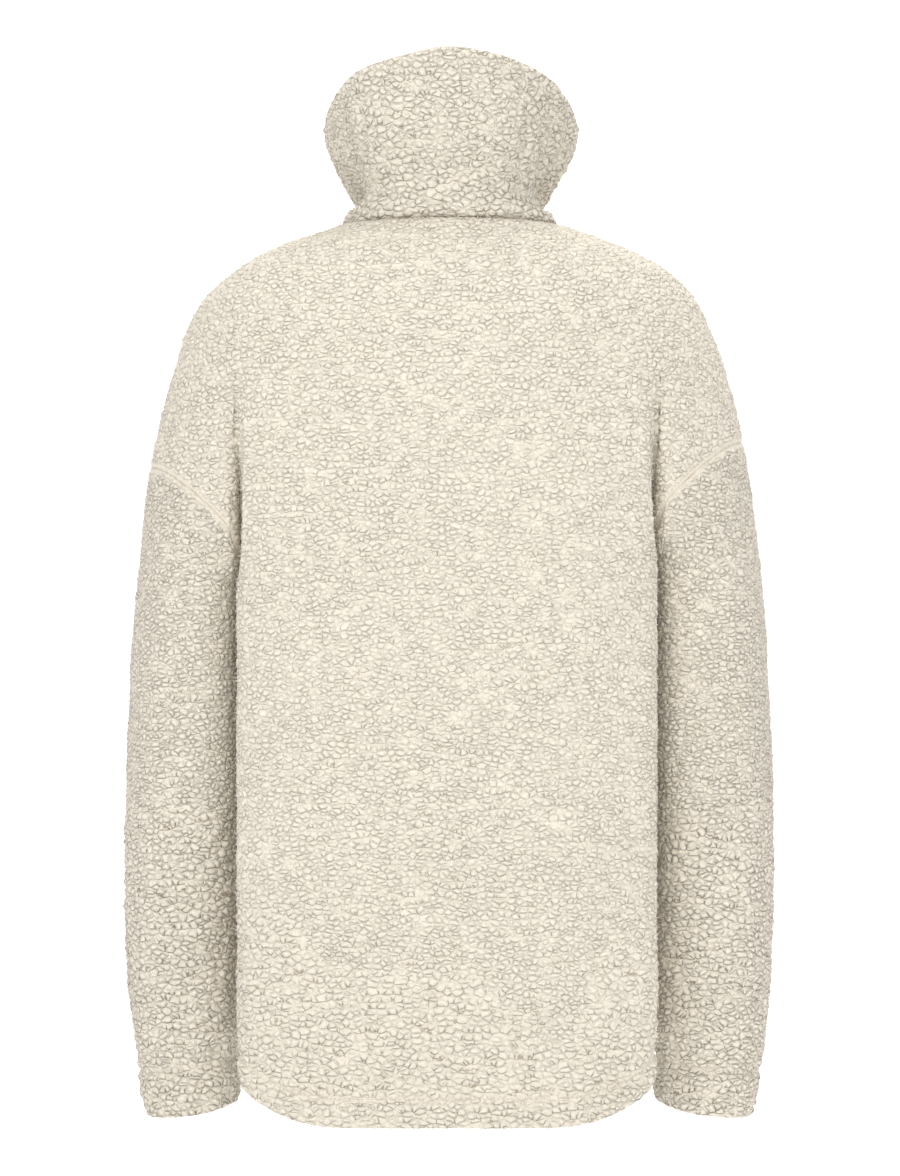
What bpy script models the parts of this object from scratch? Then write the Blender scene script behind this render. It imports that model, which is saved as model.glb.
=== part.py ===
"""Pile fleece jacket, filled out to its worn shape and held up by nothing but its own cloth.

The back faces -Y and the front +Y, so +X is the wearer's right. The origin is the middle of the neck opening at
shoulder level. Tables and sizes are in millimetres, and the meshes are made in metres.
"""

import math

import bmesh
import bpy
import numpy as np
from mathutils import Matrix, Vector

MM = 0.001
LEFT, RIGHT = -1, 1
BACK, FRONT = -1, 1

# Cloth: a knitted backing with deep pile on both faces
WALL = 6.0
TURNED_WALL = 9.0
COLLAR_WALL = 10.0
SEAM_GAP = 0.3
RIM_ROUND = 0.35

# Places that shape the body and the sleeves
CREASE_X = 166.0
CREASE_SHARE = 0.8
LIP_APART = 8.0
CREASE_TOP_Z = -75.0
ARMPIT_X = 154.0
SIDE_CLEARANCE = 4.0
CLEARANCE_RUN = 25.0
ARMPIT_Z = {LEFT: -282.0, RIGHT: -262.0}
ARMHOLE_TOP_Z = {LEFT: -192.0, RIGHT: -172.0}
ARMHOLE_FLAT = 1.5
ARMHOLE_POWER = 3.9
EVEN_ROWS_FROM = 0.12
SLEEVE_FREE_RUN = 100.0
SLEEVE_POWER = 2.5
SLEEVE_LIP_DEG = 50.0

# Neckline, hem and cuff edges
NECK_SIDE_Z = 2.0
NECK_BACK_RISE = 3.0
NECK_FRONT_DROP = 72.0
NECK_FRONT_FLAT = 1.25
NECK_FRONT_POWER = 5.0
HEM_SIDE_Z = -637.0
HEM_CENTRE_Z = {BACK: -708.0, FRONT: -694.0}
HEM_CURVE_START = 0.3
HEM_CURVE_POWER = 1.35
CUFF_Z = -709.0
CUFF_INNER_RISE = 12.0
HEM_BAND = 24.0
CUFF_BAND = 35.0
BAND_STEP = 4.0
BAND_END = 5.0

# Outline of yoke and sleeves seen from behind, as half-widths
OUTLINE = (
    # z, left, right
    (8.0, 76.0, 80.0),
    (2.0, 87.0, 91.0),
    (-2.0, 97.0, 103.0),
    (-10.0, 122.0, 127.0),
    (-22.0, 149.0, 155.0),
    (-34.0, 169.0, 176.0),
    (-58.0, 195.0, 199.0),
    (-82.0, 208.0, 211.0),
    (-106.0, 216.0, 220.0),
    (-154.0, 229.0, 233.0),
    (-202.0, 239.0, 242.0),
    (-250.0, 244.0, 248.0),
    (-370.0, 254.0, 258.0),
    (-514.0, 258.0, 262.0),
    (-586.0, 257.0, 260.0),
    (-658.0, 250.0, 254.0),
    (-710.0, 241.0, 245.0),
)

# Depth of the back and of the front at the centre line
BACK_DEPTH = (
    # z, depth
    (5.0, 74.0),
    (-20.0, 96.0),
    (-45.0, 109.0),
    (-80.0, 119.0),
    (-130.0, 127.0),
    (-200.0, 131.0),
    (-300.0, 131.0),
    (-450.0, 128.0),
    (-560.0, 129.0),
    (-720.0, 124.0),
)
FRONT_DEPTH = (
    # z, depth
    (2.0, 28.0),
    (-22.0, 46.0),
    (-57.0, 72.0),
    (-70.0, 80.0),
    (-110.0, 110.0),
    (-160.0, 129.0),
    (-230.0, 137.0),
    (-350.0, 136.0),
    (-500.0, 132.0),
    (-720.0, 128.0),
)

# How square the yoke's level sections are
RING_POWER = (
    # z, power
    (0.0, 2.0),
    (-80.0, 2.15),
    (-280.0, 2.35),
)

# Half of the body's level section below the armpit, as shares of CREASE_X and of the depth
BODY_SECTION = (
    # across, deep
    (0.0, 1.0),
    (0.36, 0.985),
    (0.66, 0.91),
    (0.87, 0.78),
    (0.975, 0.67),
    (1.0, 0.59),
    (0.98, 0.48),
    (0.935, 0.36),
    (0.912, 0.20),
    (0.904, 0.0),
)
BODY_LIP_ROW = 5
FRONT_EDGE_CALM = 40.0

# How far the body's side draws in towards the hem
HEM_DRAW = (
    # z, drawn in
    (-640.0, 0.0),
    (-680.0, 2.5),
    (-710.0, 6.0),
)

# Sleeve below the armpit: its inner side, half its depth and how far it hangs forward
SLEEVE = (
    # z, inner, half_deep, forward
    (-60.0, 154.0, 74.0, 0.0),
    (-262.0, 154.0, 76.0, 0.0),
    (-400.0, 154.0, 71.0, 3.0),
    (-540.0, 155.0, 64.0, 10.0),
    (-640.0, 158.0, 57.0, 18.0),
    (-674.0, 162.0, 52.0, 22.0),
    (-712.0, 165.0, 51.0, 25.0),
)

# Soft folds of the body, raised or sunk from the section, along a leaning line
BODY_FOLDS = (
    # face, x, z, half_wide, half_long, lean, height
    (BACK, -38.0, -250.0, 34.0, 190.0, 0.00, 3.0),
    (BACK, 44.0, -520.0, 26.0, 150.0, -0.10, -3.0),
    (BACK, 8.0, -172.0, 9.0, 26.0, 1.40, -2.0),
    (BACK, -92.0, -590.0, 30.0, 110.0, 0.16, -2.5),
    (FRONT, -70.0, -330.0, 30.0, 150.0, 0.22, -3.0),
    (FRONT, 82.0, -420.0, 32.0, 170.0, -0.18, -3.0),
    (FRONT, 52.0, -150.0, 24.0, 70.0, 0.55, 2.5),
)

# Soft dents round the sleeves, where the cloth buckles a little at the elbow and above the cuff
SLEEVE_DENTS = (
    # side, z, half_high, from_deg, depth
    (RIGHT, -372.0, 24.0, 120.0, 3.5),
    (RIGHT, -470.0, 30.0, 60.0, 3.0),
    (RIGHT, -600.0, 22.0, 110.0, 2.5),
    (LEFT, -400.0, 26.0, 110.0, 3.0),
    (LEFT, -520.0, 28.0, 60.0, 3.5),
    (LEFT, -612.0, 20.0, 120.0, 2.5),
)

# Columns of the grid in each quarter: 0 centre, 1 body's lip, 2 crease, 3 sleeve's lip, 4 outline
BODY_COLUMNS = (0.0, 0.15, 0.3, 0.45, 0.6, 0.74, 0.87, 1.0, 1.27, 1.52, 1.77, 2.0)
SLEEVE_COLUMNS = (2.0, 2.08, 2.22, 2.42, 2.68, 3.0, 3.2, 3.4, 3.6, 3.8, 4.0)

# Rows from the neckline down to the top of the crease, then by angle down to the armpit
YOKE_ROWS_Z = (2.0, -6.0, -17.0, -32.0, -52.0, -75.0)
CREASE_ROWS_DEG = (17.0, 33.0, 48.0, 62.0, 74.0, 83.0, 90.0)
BODY_ROWS = (0.035, 0.11, 0.27, 0.45, 0.63, 0.82, 1.0)
SLEEVE_ROWS = (0.0, 0.03, 0.085, 0.17, 0.27, 0.38, 0.49, 0.6, 0.71, 0.81, 0.91, 1.0)

# Collar: its rim from the centre back to the tip of the fallen-open front
COLLAR_RIM = (
    # x_left, x_right, y, z
    (0.0, 0.0, -95.0, 134.0),
    (34.0, 43.0, -89.0, 128.0),
    (64.0, 67.0, -70.0, 121.0),
    (81.0, 84.0, -47.0, 112.5),
    (92.0, 97.0, -20.0, 99.0),
    (98.0, 104.0, 6.0, 85.0),
    (99.0, 106.0, 30.0, 74.0),
    (93.0, 100.0, 60.0, 58.0),
    (74.0, 79.0, 84.0, 38.0),
)
COLLAR_WAIST = (
    # share of height, sunk
    (0.0, 0.0),
    (0.1, 10.0),
    (0.22, 16.0),
    (0.32, 12.5),
    (0.45, 7.0),
    (0.62, 2.0),
    (0.8, 0.0),
    (1.0, 0.0),
)
COLLAR_WAIST_WEIGHT = (
    # share from centre back, weight
    (0.0, 0.45),
    (0.25, 0.75),
    (0.42, 1.05),
    (0.6, 1.4),
    (0.8, 1.1),
    (1.0, 0.15),
)
COLLAR_ROWS = (1.0, 0.965, 0.82, 0.62, 0.44, 0.3, 0.2, 0.1, 0.0)
COLLAR_ROLL_PLACE = 0.43
COLLAR_ROLL_WIDE = 0.06
COLLAR_ROLL_DEEP = 8.0
COLLAR_SHARE_AT_SIDE = 0.47
THIN_TOLERANCE = 0.1

# Zip, measured across from a front edge and out from the middle of the wall
ZIP_HALF_GAP = 5.0
ZIP_PARTS_Z = -100.0
ZIP_PARTED_EDGE = 14.0
ZIP_TAPE_THICK = 1.2
ZIP_TAPE_WIDE = 1.5
ZIP_CHAIN_THICK = 2.6
ZIP_WIDE = 4.3
ZIP_EDGE_GAP = 0.55
ZIP_END_MARGIN = 4.0

# Slider and pull tab
SLIDER_Z = -93.5
PLATE_SIZE = (9.0, 12.0, 1.2)
PLATE_CLEARANCE = 0.35
WEDGE_SIZE = (2.4, 2.2)
WEDGE_BACK = 0.3
JOIN_DEPTH = 0.2
CROWN_SIZE = (2.0, 5.6, 3.4)
CROWN_WINDOW = 2.4
PULL_SIZE = (7.6, 24.0, 1.4)
PULL_EYE = (3.2, 4.0)
PULL_BAR = 1.4
PULL_HOLE_SIZE = (3.6, 9.0)
PULL_BRIDGE = 3.0


def smooth(share):
    """An even ease from 0 to 1."""
    share = min(max(share, 0.0), 1.0)
    return share * share * (3.0 - 2.0 * share)


def unit(vector):
    """The vector at length one."""
    return vector / max(float(np.linalg.norm(vector)), 1e-9)


class Profile:
    """A smooth curve through a table's points that never swings past them, and level beyond its ends."""

    def __init__(self, keys, values):
        order = np.argsort(keys)
        self.keys = np.array(keys, float)[order]
        self.values = np.array(values, float)[order]
        rise = np.diff(self.values) / np.diff(self.keys)
        self.slopes = np.zeros(len(self.keys))
        self.slopes[0] = rise[0]
        self.slopes[-1] = rise[-1]
        for i in range(1, len(rise)):
            if rise[i - 1] * rise[i] > 0.0:
                self.slopes[i] = 2.0 / (1.0 / rise[i - 1] + 1.0 / rise[i])

    def __call__(self, key):
        key = min(max(key, self.keys[0]), self.keys[-1])
        i = int(np.clip(np.searchsorted(self.keys, key) - 1, 0, len(self.keys) - 2))
        run = self.keys[i + 1] - self.keys[i]
        t = (key - self.keys[i]) / run
        ease = t * t * (3.0 - 2.0 * t)
        return (
            self.values[i] * (1.0 - ease)
            + self.values[i + 1] * ease
            + self.slopes[i] * run * t * (1.0 - t) ** 2
            - self.slopes[i + 1] * run * t * t * (1.0 - t)
        )


def column_profile(table, column):
    """The profile of one column of a table against its first column."""
    return Profile([row[0] for row in table], [row[column] for row in table])


def path_shares(points):
    """Shares of the length along a row of points, from 0 to 1."""
    steps = [0.0]
    for a, b in zip(points, points[1:]):
        steps.append(steps[-1] + math.dist(a, b))
    return [step / steps[-1] for step in steps]


HALF_WIDTH = {LEFT: column_profile(OUTLINE, 1), RIGHT: column_profile(OUTLINE, 2)}
DEPTH = {BACK: column_profile(BACK_DEPTH, 1), FRONT: column_profile(FRONT_DEPTH, 1)}
POWER = column_profile(RING_POWER, 1)
SLEEVE_INNER = column_profile(SLEEVE, 1)
SLEEVE_HALF_DEEP = column_profile(SLEEVE, 2)
SLEEVE_FORWARD = column_profile(SLEEVE, 3)
HEM_DRAWN = column_profile(HEM_DRAW, 1)
SECTION_SHARES = path_shares([(a * CREASE_X, d * BACK_DEPTH[5][1]) for a, d in BODY_SECTION])
SECTION_ACROSS = Profile(SECTION_SHARES, [row[0] for row in BODY_SECTION])
SECTION_DEEP = Profile(SECTION_SHARES, [row[1] for row in BODY_SECTION])
LIP_SHARE = SECTION_SHARES[BODY_LIP_ROW]
WAIST_SUNK = column_profile(COLLAR_WAIST, 1)
WAIST_WEIGHT = column_profile(COLLAR_WAIST_WEIGHT, 1)


def body_share(column):
    """A body column's share of the way from the centre line to the side seam."""
    if column <= 1.0:
        return LIP_SHARE * column
    return LIP_SHARE + (1.0 - LIP_SHARE) * (column - 1.0)


def sleeve_angle(column):
    """A sleeve column's angle round the sleeve, from 0 at its inner side to 180 degrees at the outline."""
    if column <= 3.0:
        return SLEEVE_LIP_DEG * (column - 2.0)
    return SLEEVE_LIP_DEG + (180.0 - SLEEVE_LIP_DEG) * (column - 3.0)


def clearance(side, z):
    """How far the body's side and the sleeve have each moved away from the armpit's line."""
    return SIDE_CLEARANCE * smooth((ARMPIT_Z[side] - z) / CLEARANCE_RUN)


def yoke_angle(side, column, z):
    """A column's angle round the yoke's level section, from 0 at the centre line to a quarter turn."""
    half = HALF_WIDTH[side](z)
    crease = min(CREASE_X, CREASE_SHARE * half)
    places = (0.0, crease - LIP_APART, crease, crease + LIP_APART, half)
    angles = [math.asin((place / half) ** (POWER(z) / 2.0)) for place in places]
    return float(np.interp(column, range(5), angles))


def yoke_point(side, face, column, z):
    """A point of the undivided section, as distances across and deep."""
    angle = yoke_angle(side, column, z)
    bend = 2.0 / POWER(z)
    across = HALF_WIDTH[side](z) * math.sin(angle) ** bend
    deep = DEPTH[face](z) * max(math.cos(angle), 0.0) ** bend
    return np.array((across, deep))


def body_point(side, face, column, z):
    """A point of the body's own section below the armpit."""
    share = body_share(column)
    across = (CREASE_X - HEM_DRAWN(z)) * SECTION_ACROSS(share)
    eased = smooth((share - LIP_SHARE) / (1.0 - LIP_SHARE))
    across += eased * (ARMPIT_X - clearance(side, z) - CREASE_X * BODY_SECTION[-1][0])
    return np.array((across, DEPTH[face](z) * SECTION_DEEP(share)))


def sleeve_dent(side, angle_deg, z):
    """How far the sleeve's surface sinks at a dent."""
    sunk = 0.0
    for dent_side, dent_z, half_high, from_deg, depth in SLEEVE_DENTS:
        if dent_side == side:
            slant = dent_z + 0.25 * (angle_deg - from_deg)
            across = math.exp(-(((z - slant) / half_high) ** 2))
            sunk += depth * across * math.exp(-(((angle_deg - from_deg) / 70.0) ** 2))
    return sunk


def sleeve_point(side, face, column, z):
    """A point of the sleeve's own section."""
    angle_deg = sleeve_angle(column)
    angle = math.radians(angle_deg)
    inner = SLEEVE_INNER(z) + clearance(side, z)
    outer = HALF_WIDTH[side](z)
    middle = (inner + outer) / 2.0
    bend = 2.0 / SLEEVE_POWER
    sunk = sleeve_dent(side, angle_deg, z) * smooth((ARMPIT_Z[side] - z) / 60.0)
    half_wide = (outer - inner) / 2.0 - sunk * 0.4
    half_deep = SLEEVE_HALF_DEEP(z) - sunk
    cosine = math.cos(angle)
    across = middle - math.copysign(abs(cosine) ** bend, cosine) * half_wide
    deep = half_deep * max(math.sin(angle), 0.0) ** bend
    forward = SLEEVE_FORWARD(z) * smooth((ARMPIT_Z[side] - z) / SLEEVE_FREE_RUN)
    return np.array((across, deep + face * forward))


def body_fold(face, x, z):
    """How far the body's cloth is raised at a soft fold."""
    raised = 0.0
    fade = smooth(abs(x) / FRONT_EDGE_CALM) if face == FRONT else 1.0
    for fold_face, fold_x, fold_z, half_wide, half_long, lean, height in BODY_FOLDS:
        if fold_face == face:
            across = (x - fold_x - lean * (z - fold_z)) / half_wide
            along = (z - fold_z) / half_long
            raised += height * math.exp(-(across**2) - along**2)
    return raised * fade


def parting(side, z):
    """0 where the yoke is one section, 1 from the armpit down, where body and sleeve are apart."""
    share = (CREASE_TOP_Z - z) / (CREASE_TOP_Z - ARMPIT_Z[side])
    share = min(max(share, 0.0), 1.0)
    return 1.0 - math.sqrt(1.0 - share * share)


def shell_point(side, face, column, z, on_sleeve):
    """A point of the jacket's outer surface."""
    section = sleeve_point if on_sleeve else body_point
    place = section(side, face, column, z)
    parted = parting(side, z)
    if parted < 1.0:
        place = yoke_point(side, face, column, z) * (1.0 - parted) + place * parted
    across, deep = place
    if column <= 1.0:
        deep += body_fold(face, side * across, z) * smooth((1.0 - column) / 0.25)
    return np.array((side * across, face * deep, z))


def armhole_z(side, column):
    """Height of the armhole seam at a column, from the crease to the outline."""
    share = sleeve_angle(column) / 180.0
    drop = ARMHOLE_TOP_Z[side] - ARMPIT_Z[side]
    return ARMHOLE_TOP_Z[side] - drop * (1.0 - share**ARMHOLE_FLAT) ** ARMHOLE_POWER


def neck_z(side, face, column):
    """Height of the neck seam at a column."""
    share = yoke_angle(side, column, 0.0) / (math.pi / 2.0)
    if face == BACK:
        return NECK_SIDE_Z + NECK_BACK_RISE * (1.0 - share * share)
    return NECK_SIDE_Z - NECK_FRONT_DROP * (1.0 - share**NECK_FRONT_FLAT) ** NECK_FRONT_POWER


def hem_z(face, column):
    """Height of the hem's edge at a body column, curved up to the side seam."""
    start = HEM_CURVE_START
    eased = smooth(max((body_share(column) - start) / (1.0 - start), 0.0) ** HEM_CURVE_POWER)
    return HEM_CENTRE_Z[face] + (HEM_SIDE_Z - HEM_CENTRE_Z[face]) * eased


def front_edge_x(z):
    """Half of the distance between the two front edges, wider where the zip is open."""
    open_share = (z - ZIP_PARTS_Z) / (NECK_SIDE_Z - NECK_FRONT_DROP - ZIP_PARTS_Z)
    return ZIP_HALF_GAP + (ZIP_PARTED_EDGE - ZIP_HALF_GAP) * min(max(open_share, 0.0), 1.0)


def panel_column(side, face, column, on_sleeve):
    """One column of a front or back panel, from the neck seam to the armhole seam or the hem."""
    top = neck_z(side, face, column)
    bottom = armhole_z(side, column) if on_sleeve else ARMPIT_Z[side]
    fall = CREASE_TOP_Z - ARMPIT_Z[side]
    levels = list(YOKE_ROWS_Z)
    levels += [CREASE_TOP_Z - fall * math.sin(math.radians(angle)) for angle in CREASE_ROWS_DEG]
    shares = [(levels[0] - level) / (levels[0] - ARMPIT_Z[side]) for level in levels]
    if on_sleeve:
        even = smooth(sleeve_angle(column) / 180.0 / EVEN_ROWS_FROM)
        last = len(shares) - 1
        shares = [share * (1.0 - even) + r / last * even for r, share in enumerate(shares)]
    heights = [top + (bottom - top) * share for share in shares]
    if not on_sleeve:
        edge = hem_z(face, column)
        band = edge + HEM_BAND
        heights += [bottom + (band - bottom) * share for share in BODY_ROWS]
        heights += [band - BAND_STEP, edge + BAND_END, edge]
    points = [shell_point(side, face, column, z, on_sleeve) for z in heights]
    if face == FRONT and column == 0.0:
        for point in points:
            point[0] = side * front_edge_x(point[2])
    return points


PANEL_WALLS = (
    [WALL] * (len(YOKE_ROWS_Z) + len(CREASE_ROWS_DEG) + len(BODY_ROWS))
    + [TURNED_WALL, TURNED_WALL, TURNED_WALL * 0.6]
)
SLEEVE_WALLS = [WALL] * len(SLEEVE_ROWS) + [TURNED_WALL, TURNED_WALL, TURNED_WALL * 0.6]
COLLAR_WALLS = [COLLAR_WALL * 0.7] + [COLLAR_WALL] * (len(COLLAR_ROWS) - 3) + [(COLLAR_WALL + WALL) / 2.0, WALL]


def quarter_columns(side, face):
    """The columns of a quarter of the jacket's upper part, from the centre line out."""
    columns = [panel_column(side, face, column, False) for column in BODY_COLUMNS]
    columns += [panel_column(side, face, column, True) for column in SLEEVE_COLUMNS[1:]]
    return columns


def as_rows(columns):
    """Turns columns of unlike length into rows, with None where a column has ended."""
    longest = max(len(column) for column in columns)
    return [[column[r] if r < len(column) else None for column in columns] for r in range(longest)]


def sleeve_column(side, face, column):
    """One column of a sleeve, from the armhole seam to the cuff's edge."""
    share = (1.0 + math.cos(math.radians(sleeve_angle(column)))) / 2.0
    top = armhole_z(side, column)
    edge = CUFF_Z + CUFF_INNER_RISE * share * share
    band = edge + CUFF_BAND
    heights = [top + (band - top) * row for row in SLEEVE_ROWS]
    heights += [band - BAND_STEP, edge + BAND_END, edge]
    return [shell_point(side, face, column, z, True) for z in heights]


def collar_rim(side):
    """The collar's rim as profiles against the share of its length from the centre back."""
    x_column = 0 if side == LEFT else 1
    points = [(row[x_column], row[2], row[3]) for row in COLLAR_RIM]
    shares = path_shares(points)
    return [Profile(shares, [point[axis] for point in points]) for axis in range(3)]


def collar_columns(side):
    """Half of the collar, from the centre back to its front edge, each column from the rim to the neck seam."""
    back = [panel_column(side, BACK, column, column > 2.0)[0] for column in BODY_COLUMNS + SLEEVE_COLUMNS[1:]]
    front = [panel_column(side, FRONT, column, column > 2.0)[0] for column in BODY_COLUMNS + SLEEVE_COLUMNS[1:]]
    back_shares = [share * COLLAR_SHARE_AT_SIDE for share in path_shares(back)]
    front_shares = [1.0 - share * (1.0 - COLLAR_SHARE_AT_SIDE) for share in path_shares(front)]
    seam = list(zip(back, back_shares)) + list(zip(front[-2::-1], front_shares[-2::-1]))
    rim = collar_rim(side)
    columns = []
    for foot, share in seam:
        x, y, z = (axis(share) for axis in rim)
        tip = np.array((side * x, y, z))
        out = (foot + tip) / 2.0
        out[2] = 0.0
        out = unit(out)
        rolled = math.exp(-(((share - COLLAR_ROLL_PLACE) / COLLAR_ROLL_WIDE) ** 2))
        column = []
        for high in COLLAR_ROWS:
            sunk = WAIST_SUNK(high) * WAIST_WEIGHT(share)
            sunk += COLLAR_ROLL_DEEP * rolled * math.sin(math.pi * high) ** 2
            column.append(foot * (1.0 - high) + tip * high - out * sunk)
        columns.append(column)
    return columns


def strays(start, between, end):
    """How far a point lies from the straight line between two others."""
    along = unit(end - start)
    off = between - start
    return float(np.linalg.norm(off - along * float(np.dot(off, along))))


def thinned(columns, shared):
    """Leaves out a collar column wherever both edges of its foot lie close to the lines between its neighbours'."""
    kept = [columns[0]]
    i = 0
    while i < len(columns) - 1:
        feet = [column[-1] for column in columns[i : i + 3]]
        inner = [foot - unit(shared[place_key(foot)]) * WALL for foot in feet]
        skip = len(feet) == 3 and max(strays(*feet), strays(*inner)) < THIN_TOLERANCE
        i += 2 if skip else 1
        kept.append(columns[i])
    return kept


class Sheet:
    """A piece of cloth as a grid of points on its outer face, rows running down, columns rightwards from outside."""

    def __init__(self, name, rows, walls, ring=False, rim_row=None, free_sides=False):
        self.name = name
        self.index = {}
        self.points = []
        self.walls = []
        self.rims = set()
        self.free = set()
        ends = (0, len(rows[0]) - 1) if free_sides else ()
        for r, row in enumerate(rows):
            for c, point in enumerate(row):
                if point is not None:
                    self.index[r, c] = len(self.points)
                    if r == rim_row:
                        self.rims.add(len(self.points))
                    if c in ends:
                        self.free.add(len(self.points))
                    self.points.append(np.array(point, float))
                    self.walls.append(walls[r])
        width = len(rows[0])
        self.faces = []
        for r in range(len(rows) - 1):
            for c in range(width if ring else width - 1):
                after = (c + 1) % width
                corners = ((r, c), (r + 1, c), (r + 1, after), (r, after))
                if all(corner in self.index for corner in corners):
                    self.faces.append([self.index[corner] for corner in corners])

    def add_normals(self, shared):
        """Adds each face's normal to its corners' places, which pieces that meet have in common."""
        for face in self.faces:
            a, b, c, d = (self.points[i] for i in face)
            normal = np.cross(c - a, d - b)
            for i in face:
                key = place_key(self.points[i])
                shared[key] = shared.get(key, 0.0) + normal

    def outer_edges(self):
        """The edges with a face on one side only, each with the direction into its face."""
        edges = {}
        for face in self.faces:
            middle = sum(self.points[i] for i in face) / len(face)
            for a, b in zip(face, face[1:] + face[:1]):
                if (b, a) in edges:
                    del edges[b, a]
                else:
                    along = unit(self.points[b] - self.points[a])
                    inward = middle - self.points[a]
                    edges[a, b] = unit(inward - along * float(np.dot(inward, along)))
        return edges


def place_key(point):
    """A key that pieces meeting at a point agree on."""
    return tuple(round(float(value), 2) for value in point)


def centre_out(point):
    """An order of points from the middle of the jacket outwards, the same on both sides."""
    return tuple(round(abs(float(value)), 2) for value in point)


def inset(directions, distance):
    """The move that takes a corner the same distance in from each of its edges."""
    if len(directions) == 1:
        return directions[0] * distance
    first, second = directions[0], directions[-1]
    spread = max(1.0 + float(np.dot(first, second)), 0.35)
    return (first + second) * distance / spread


def cloth_wall(sheet, shared, gap):
    """Vertices and faces of a closed wall, rounded at its free rim and drawn back from its seams.

    The faces along a seam are split the same way in both pieces that meet there, and along a free side the other way,
    which keeps a twisted edge hollow.
    """
    edges = sheet.outer_edges()
    inward = {}
    for (a, b), direction in edges.items():
        inward.setdefault(a, []).append(direction)
        inward.setdefault(b, []).append(direction)
    outer = []
    inner = []
    for i, point in enumerate(sheet.points):
        normal = unit(shared[place_key(point)])
        moved = point + inset(inward[i], gap) if i in inward else point
        outer.append(moved)
        inner.append(moved - normal * sheet.walls[i])
    count = len(outer)
    vertices = outer + inner
    rounded = {}
    seamward = {}
    for (a, b), direction in edges.items():
        group = rounded if a in sheet.rims and b in sheet.rims else seamward
        for i in (a, b):
            group.setdefault(i, []).append(direction)
    middle = {}
    for i, directions in rounded.items():
        middle[i] = len(vertices)
        reach = unit(sum(directions)) * sheet.walls[i] * RIM_ROUND
        for seam in seamward.get(i, []):
            reach = reach - seam * float(np.dot(reach, seam))
        vertices.append((outer[i] + inner[i]) / 2.0 - reach)
    faces = [list(face) for face in sheet.faces]
    faces += [[i + count for i in reversed(face)] for face in sheet.faces]
    for a, b in edges:
        if a in middle and b in middle and a in sheet.rims and b in sheet.rims:
            faces.append([b, a, middle[a], middle[b]])
            faces.append([middle[b], middle[a], a + count, b + count])
            continue
        free = a in sheet.free and b in sheet.free
        if (centre_out(sheet.points[a]) < centre_out(sheet.points[b])) != free:
            faces += [[b, a, b + count], [a, a + count, b + count]]
        else:
            faces += [[b, a, a + count], [b, a + count, b + count]]
        if a in middle:
            faces.append([a, middle[a], a + count])
        if b in middle:
            faces.append([b + count, middle[b], b])
    return vertices, faces


def material(name, colour, roughness, metallic=0.0):
    """A Principled material."""
    made = bpy.data.materials.new(name)
    made.use_nodes = True
    shader = made.node_tree.nodes["Principled BSDF"]
    shader.inputs["Base Color"].default_value = (*colour, 1.0)
    shader.inputs["Roughness"].default_value = roughness
    shader.inputs["Metallic"].default_value = metallic
    made.diffuse_color = (*colour, 1.0)
    return made


def add_object(name, mesh, finish, collection):
    """Puts a finished mesh in the scene under its piece's name."""
    made = bpy.data.objects.new(name, mesh)
    made.data.materials.clear()
    made.data.materials.append(finish)
    collection.objects.link(made)
    return made


def mesh_object(name, vertices, faces, finish, collection):
    """An object from millimetre points and faces, shaded smooth but for its sharp edges."""
    mesh = bpy.data.meshes.new(name)
    mesh.from_pydata([tuple(float(v) * MM for v in vertex) for vertex in vertices], [], faces)
    mesh.validate()
    mesh.shade_smooth()
    mesh.set_sharp_from_angle(angle=math.radians(50.0))
    return add_object(name, mesh, finish, collection)


def zip_path(panel, collar, shared, side):
    """The front edge from the hem up to the collar's tip: middle of the wall, normal, and way across the zip."""
    panel_column_index = 0 if side == LEFT else len(BODY_COLUMNS + SLEEVE_COLUMNS[1:]) - 1
    rows = sorted(r for r, c in panel.index if c == panel_column_index)
    places = [panel.index[r, panel_column_index] for r in reversed(rows)]
    points = [panel.points[i] for i in places]
    depths = [WALL / 2.0] * len(points)
    last = max(c for r, c in collar.index)
    collar_index = 0 if side == LEFT else last
    collar_rows = sorted((r for r, c in collar.index if c == collar_index), reverse=True)
    for step, r in enumerate(collar_rows[1:]):
        points.append(collar.points[collar.index[r, collar_index]])
        depths.append(WALL / 2.0 + (COLLAR_WALL - WALL) / 2.0 * smooth((step + 1) / 3.0))
    normals = [unit(shared[place_key(point)]) for point in points]
    spine = [p - n * d for p, n, d in zip(points, normals, depths)]
    spine[0] = spine[0] + unit(spine[1] - spine[0]) * ZIP_END_MARGIN
    spine[-1] = spine[-1] + unit(spine[-2] - spine[-1]) * ZIP_END_MARGIN
    path = []
    for i, place in enumerate(spine):
        along = unit(spine[min(i + 1, len(spine) - 1)] - spine[max(i - 1, 0)])
        across = unit(np.cross(along, normals[i])) * -side
        if float(np.dot(across, np.array((-side, 0.0, 0.0)))) < 0.0:
            across = -across
        path.append((place, unit(np.cross(across, along)) * side, across))
    return path


def zip_section():
    """The half zip's section: a thin tape next to the cloth, then the thicker chain."""
    tape = ZIP_TAPE_THICK / 2.0
    chain = ZIP_CHAIN_THICK / 2.0
    near = ZIP_EDGE_GAP
    return (
        (near, -tape),
        (near + ZIP_TAPE_WIDE, -tape),
        (near + ZIP_TAPE_WIDE, -chain),
        (near + ZIP_WIDE, -chain),
        (near + ZIP_WIDE, chain),
        (near + ZIP_TAPE_WIDE, chain),
        (near + ZIP_TAPE_WIDE, tape),
        (near, tape),
    )


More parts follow.
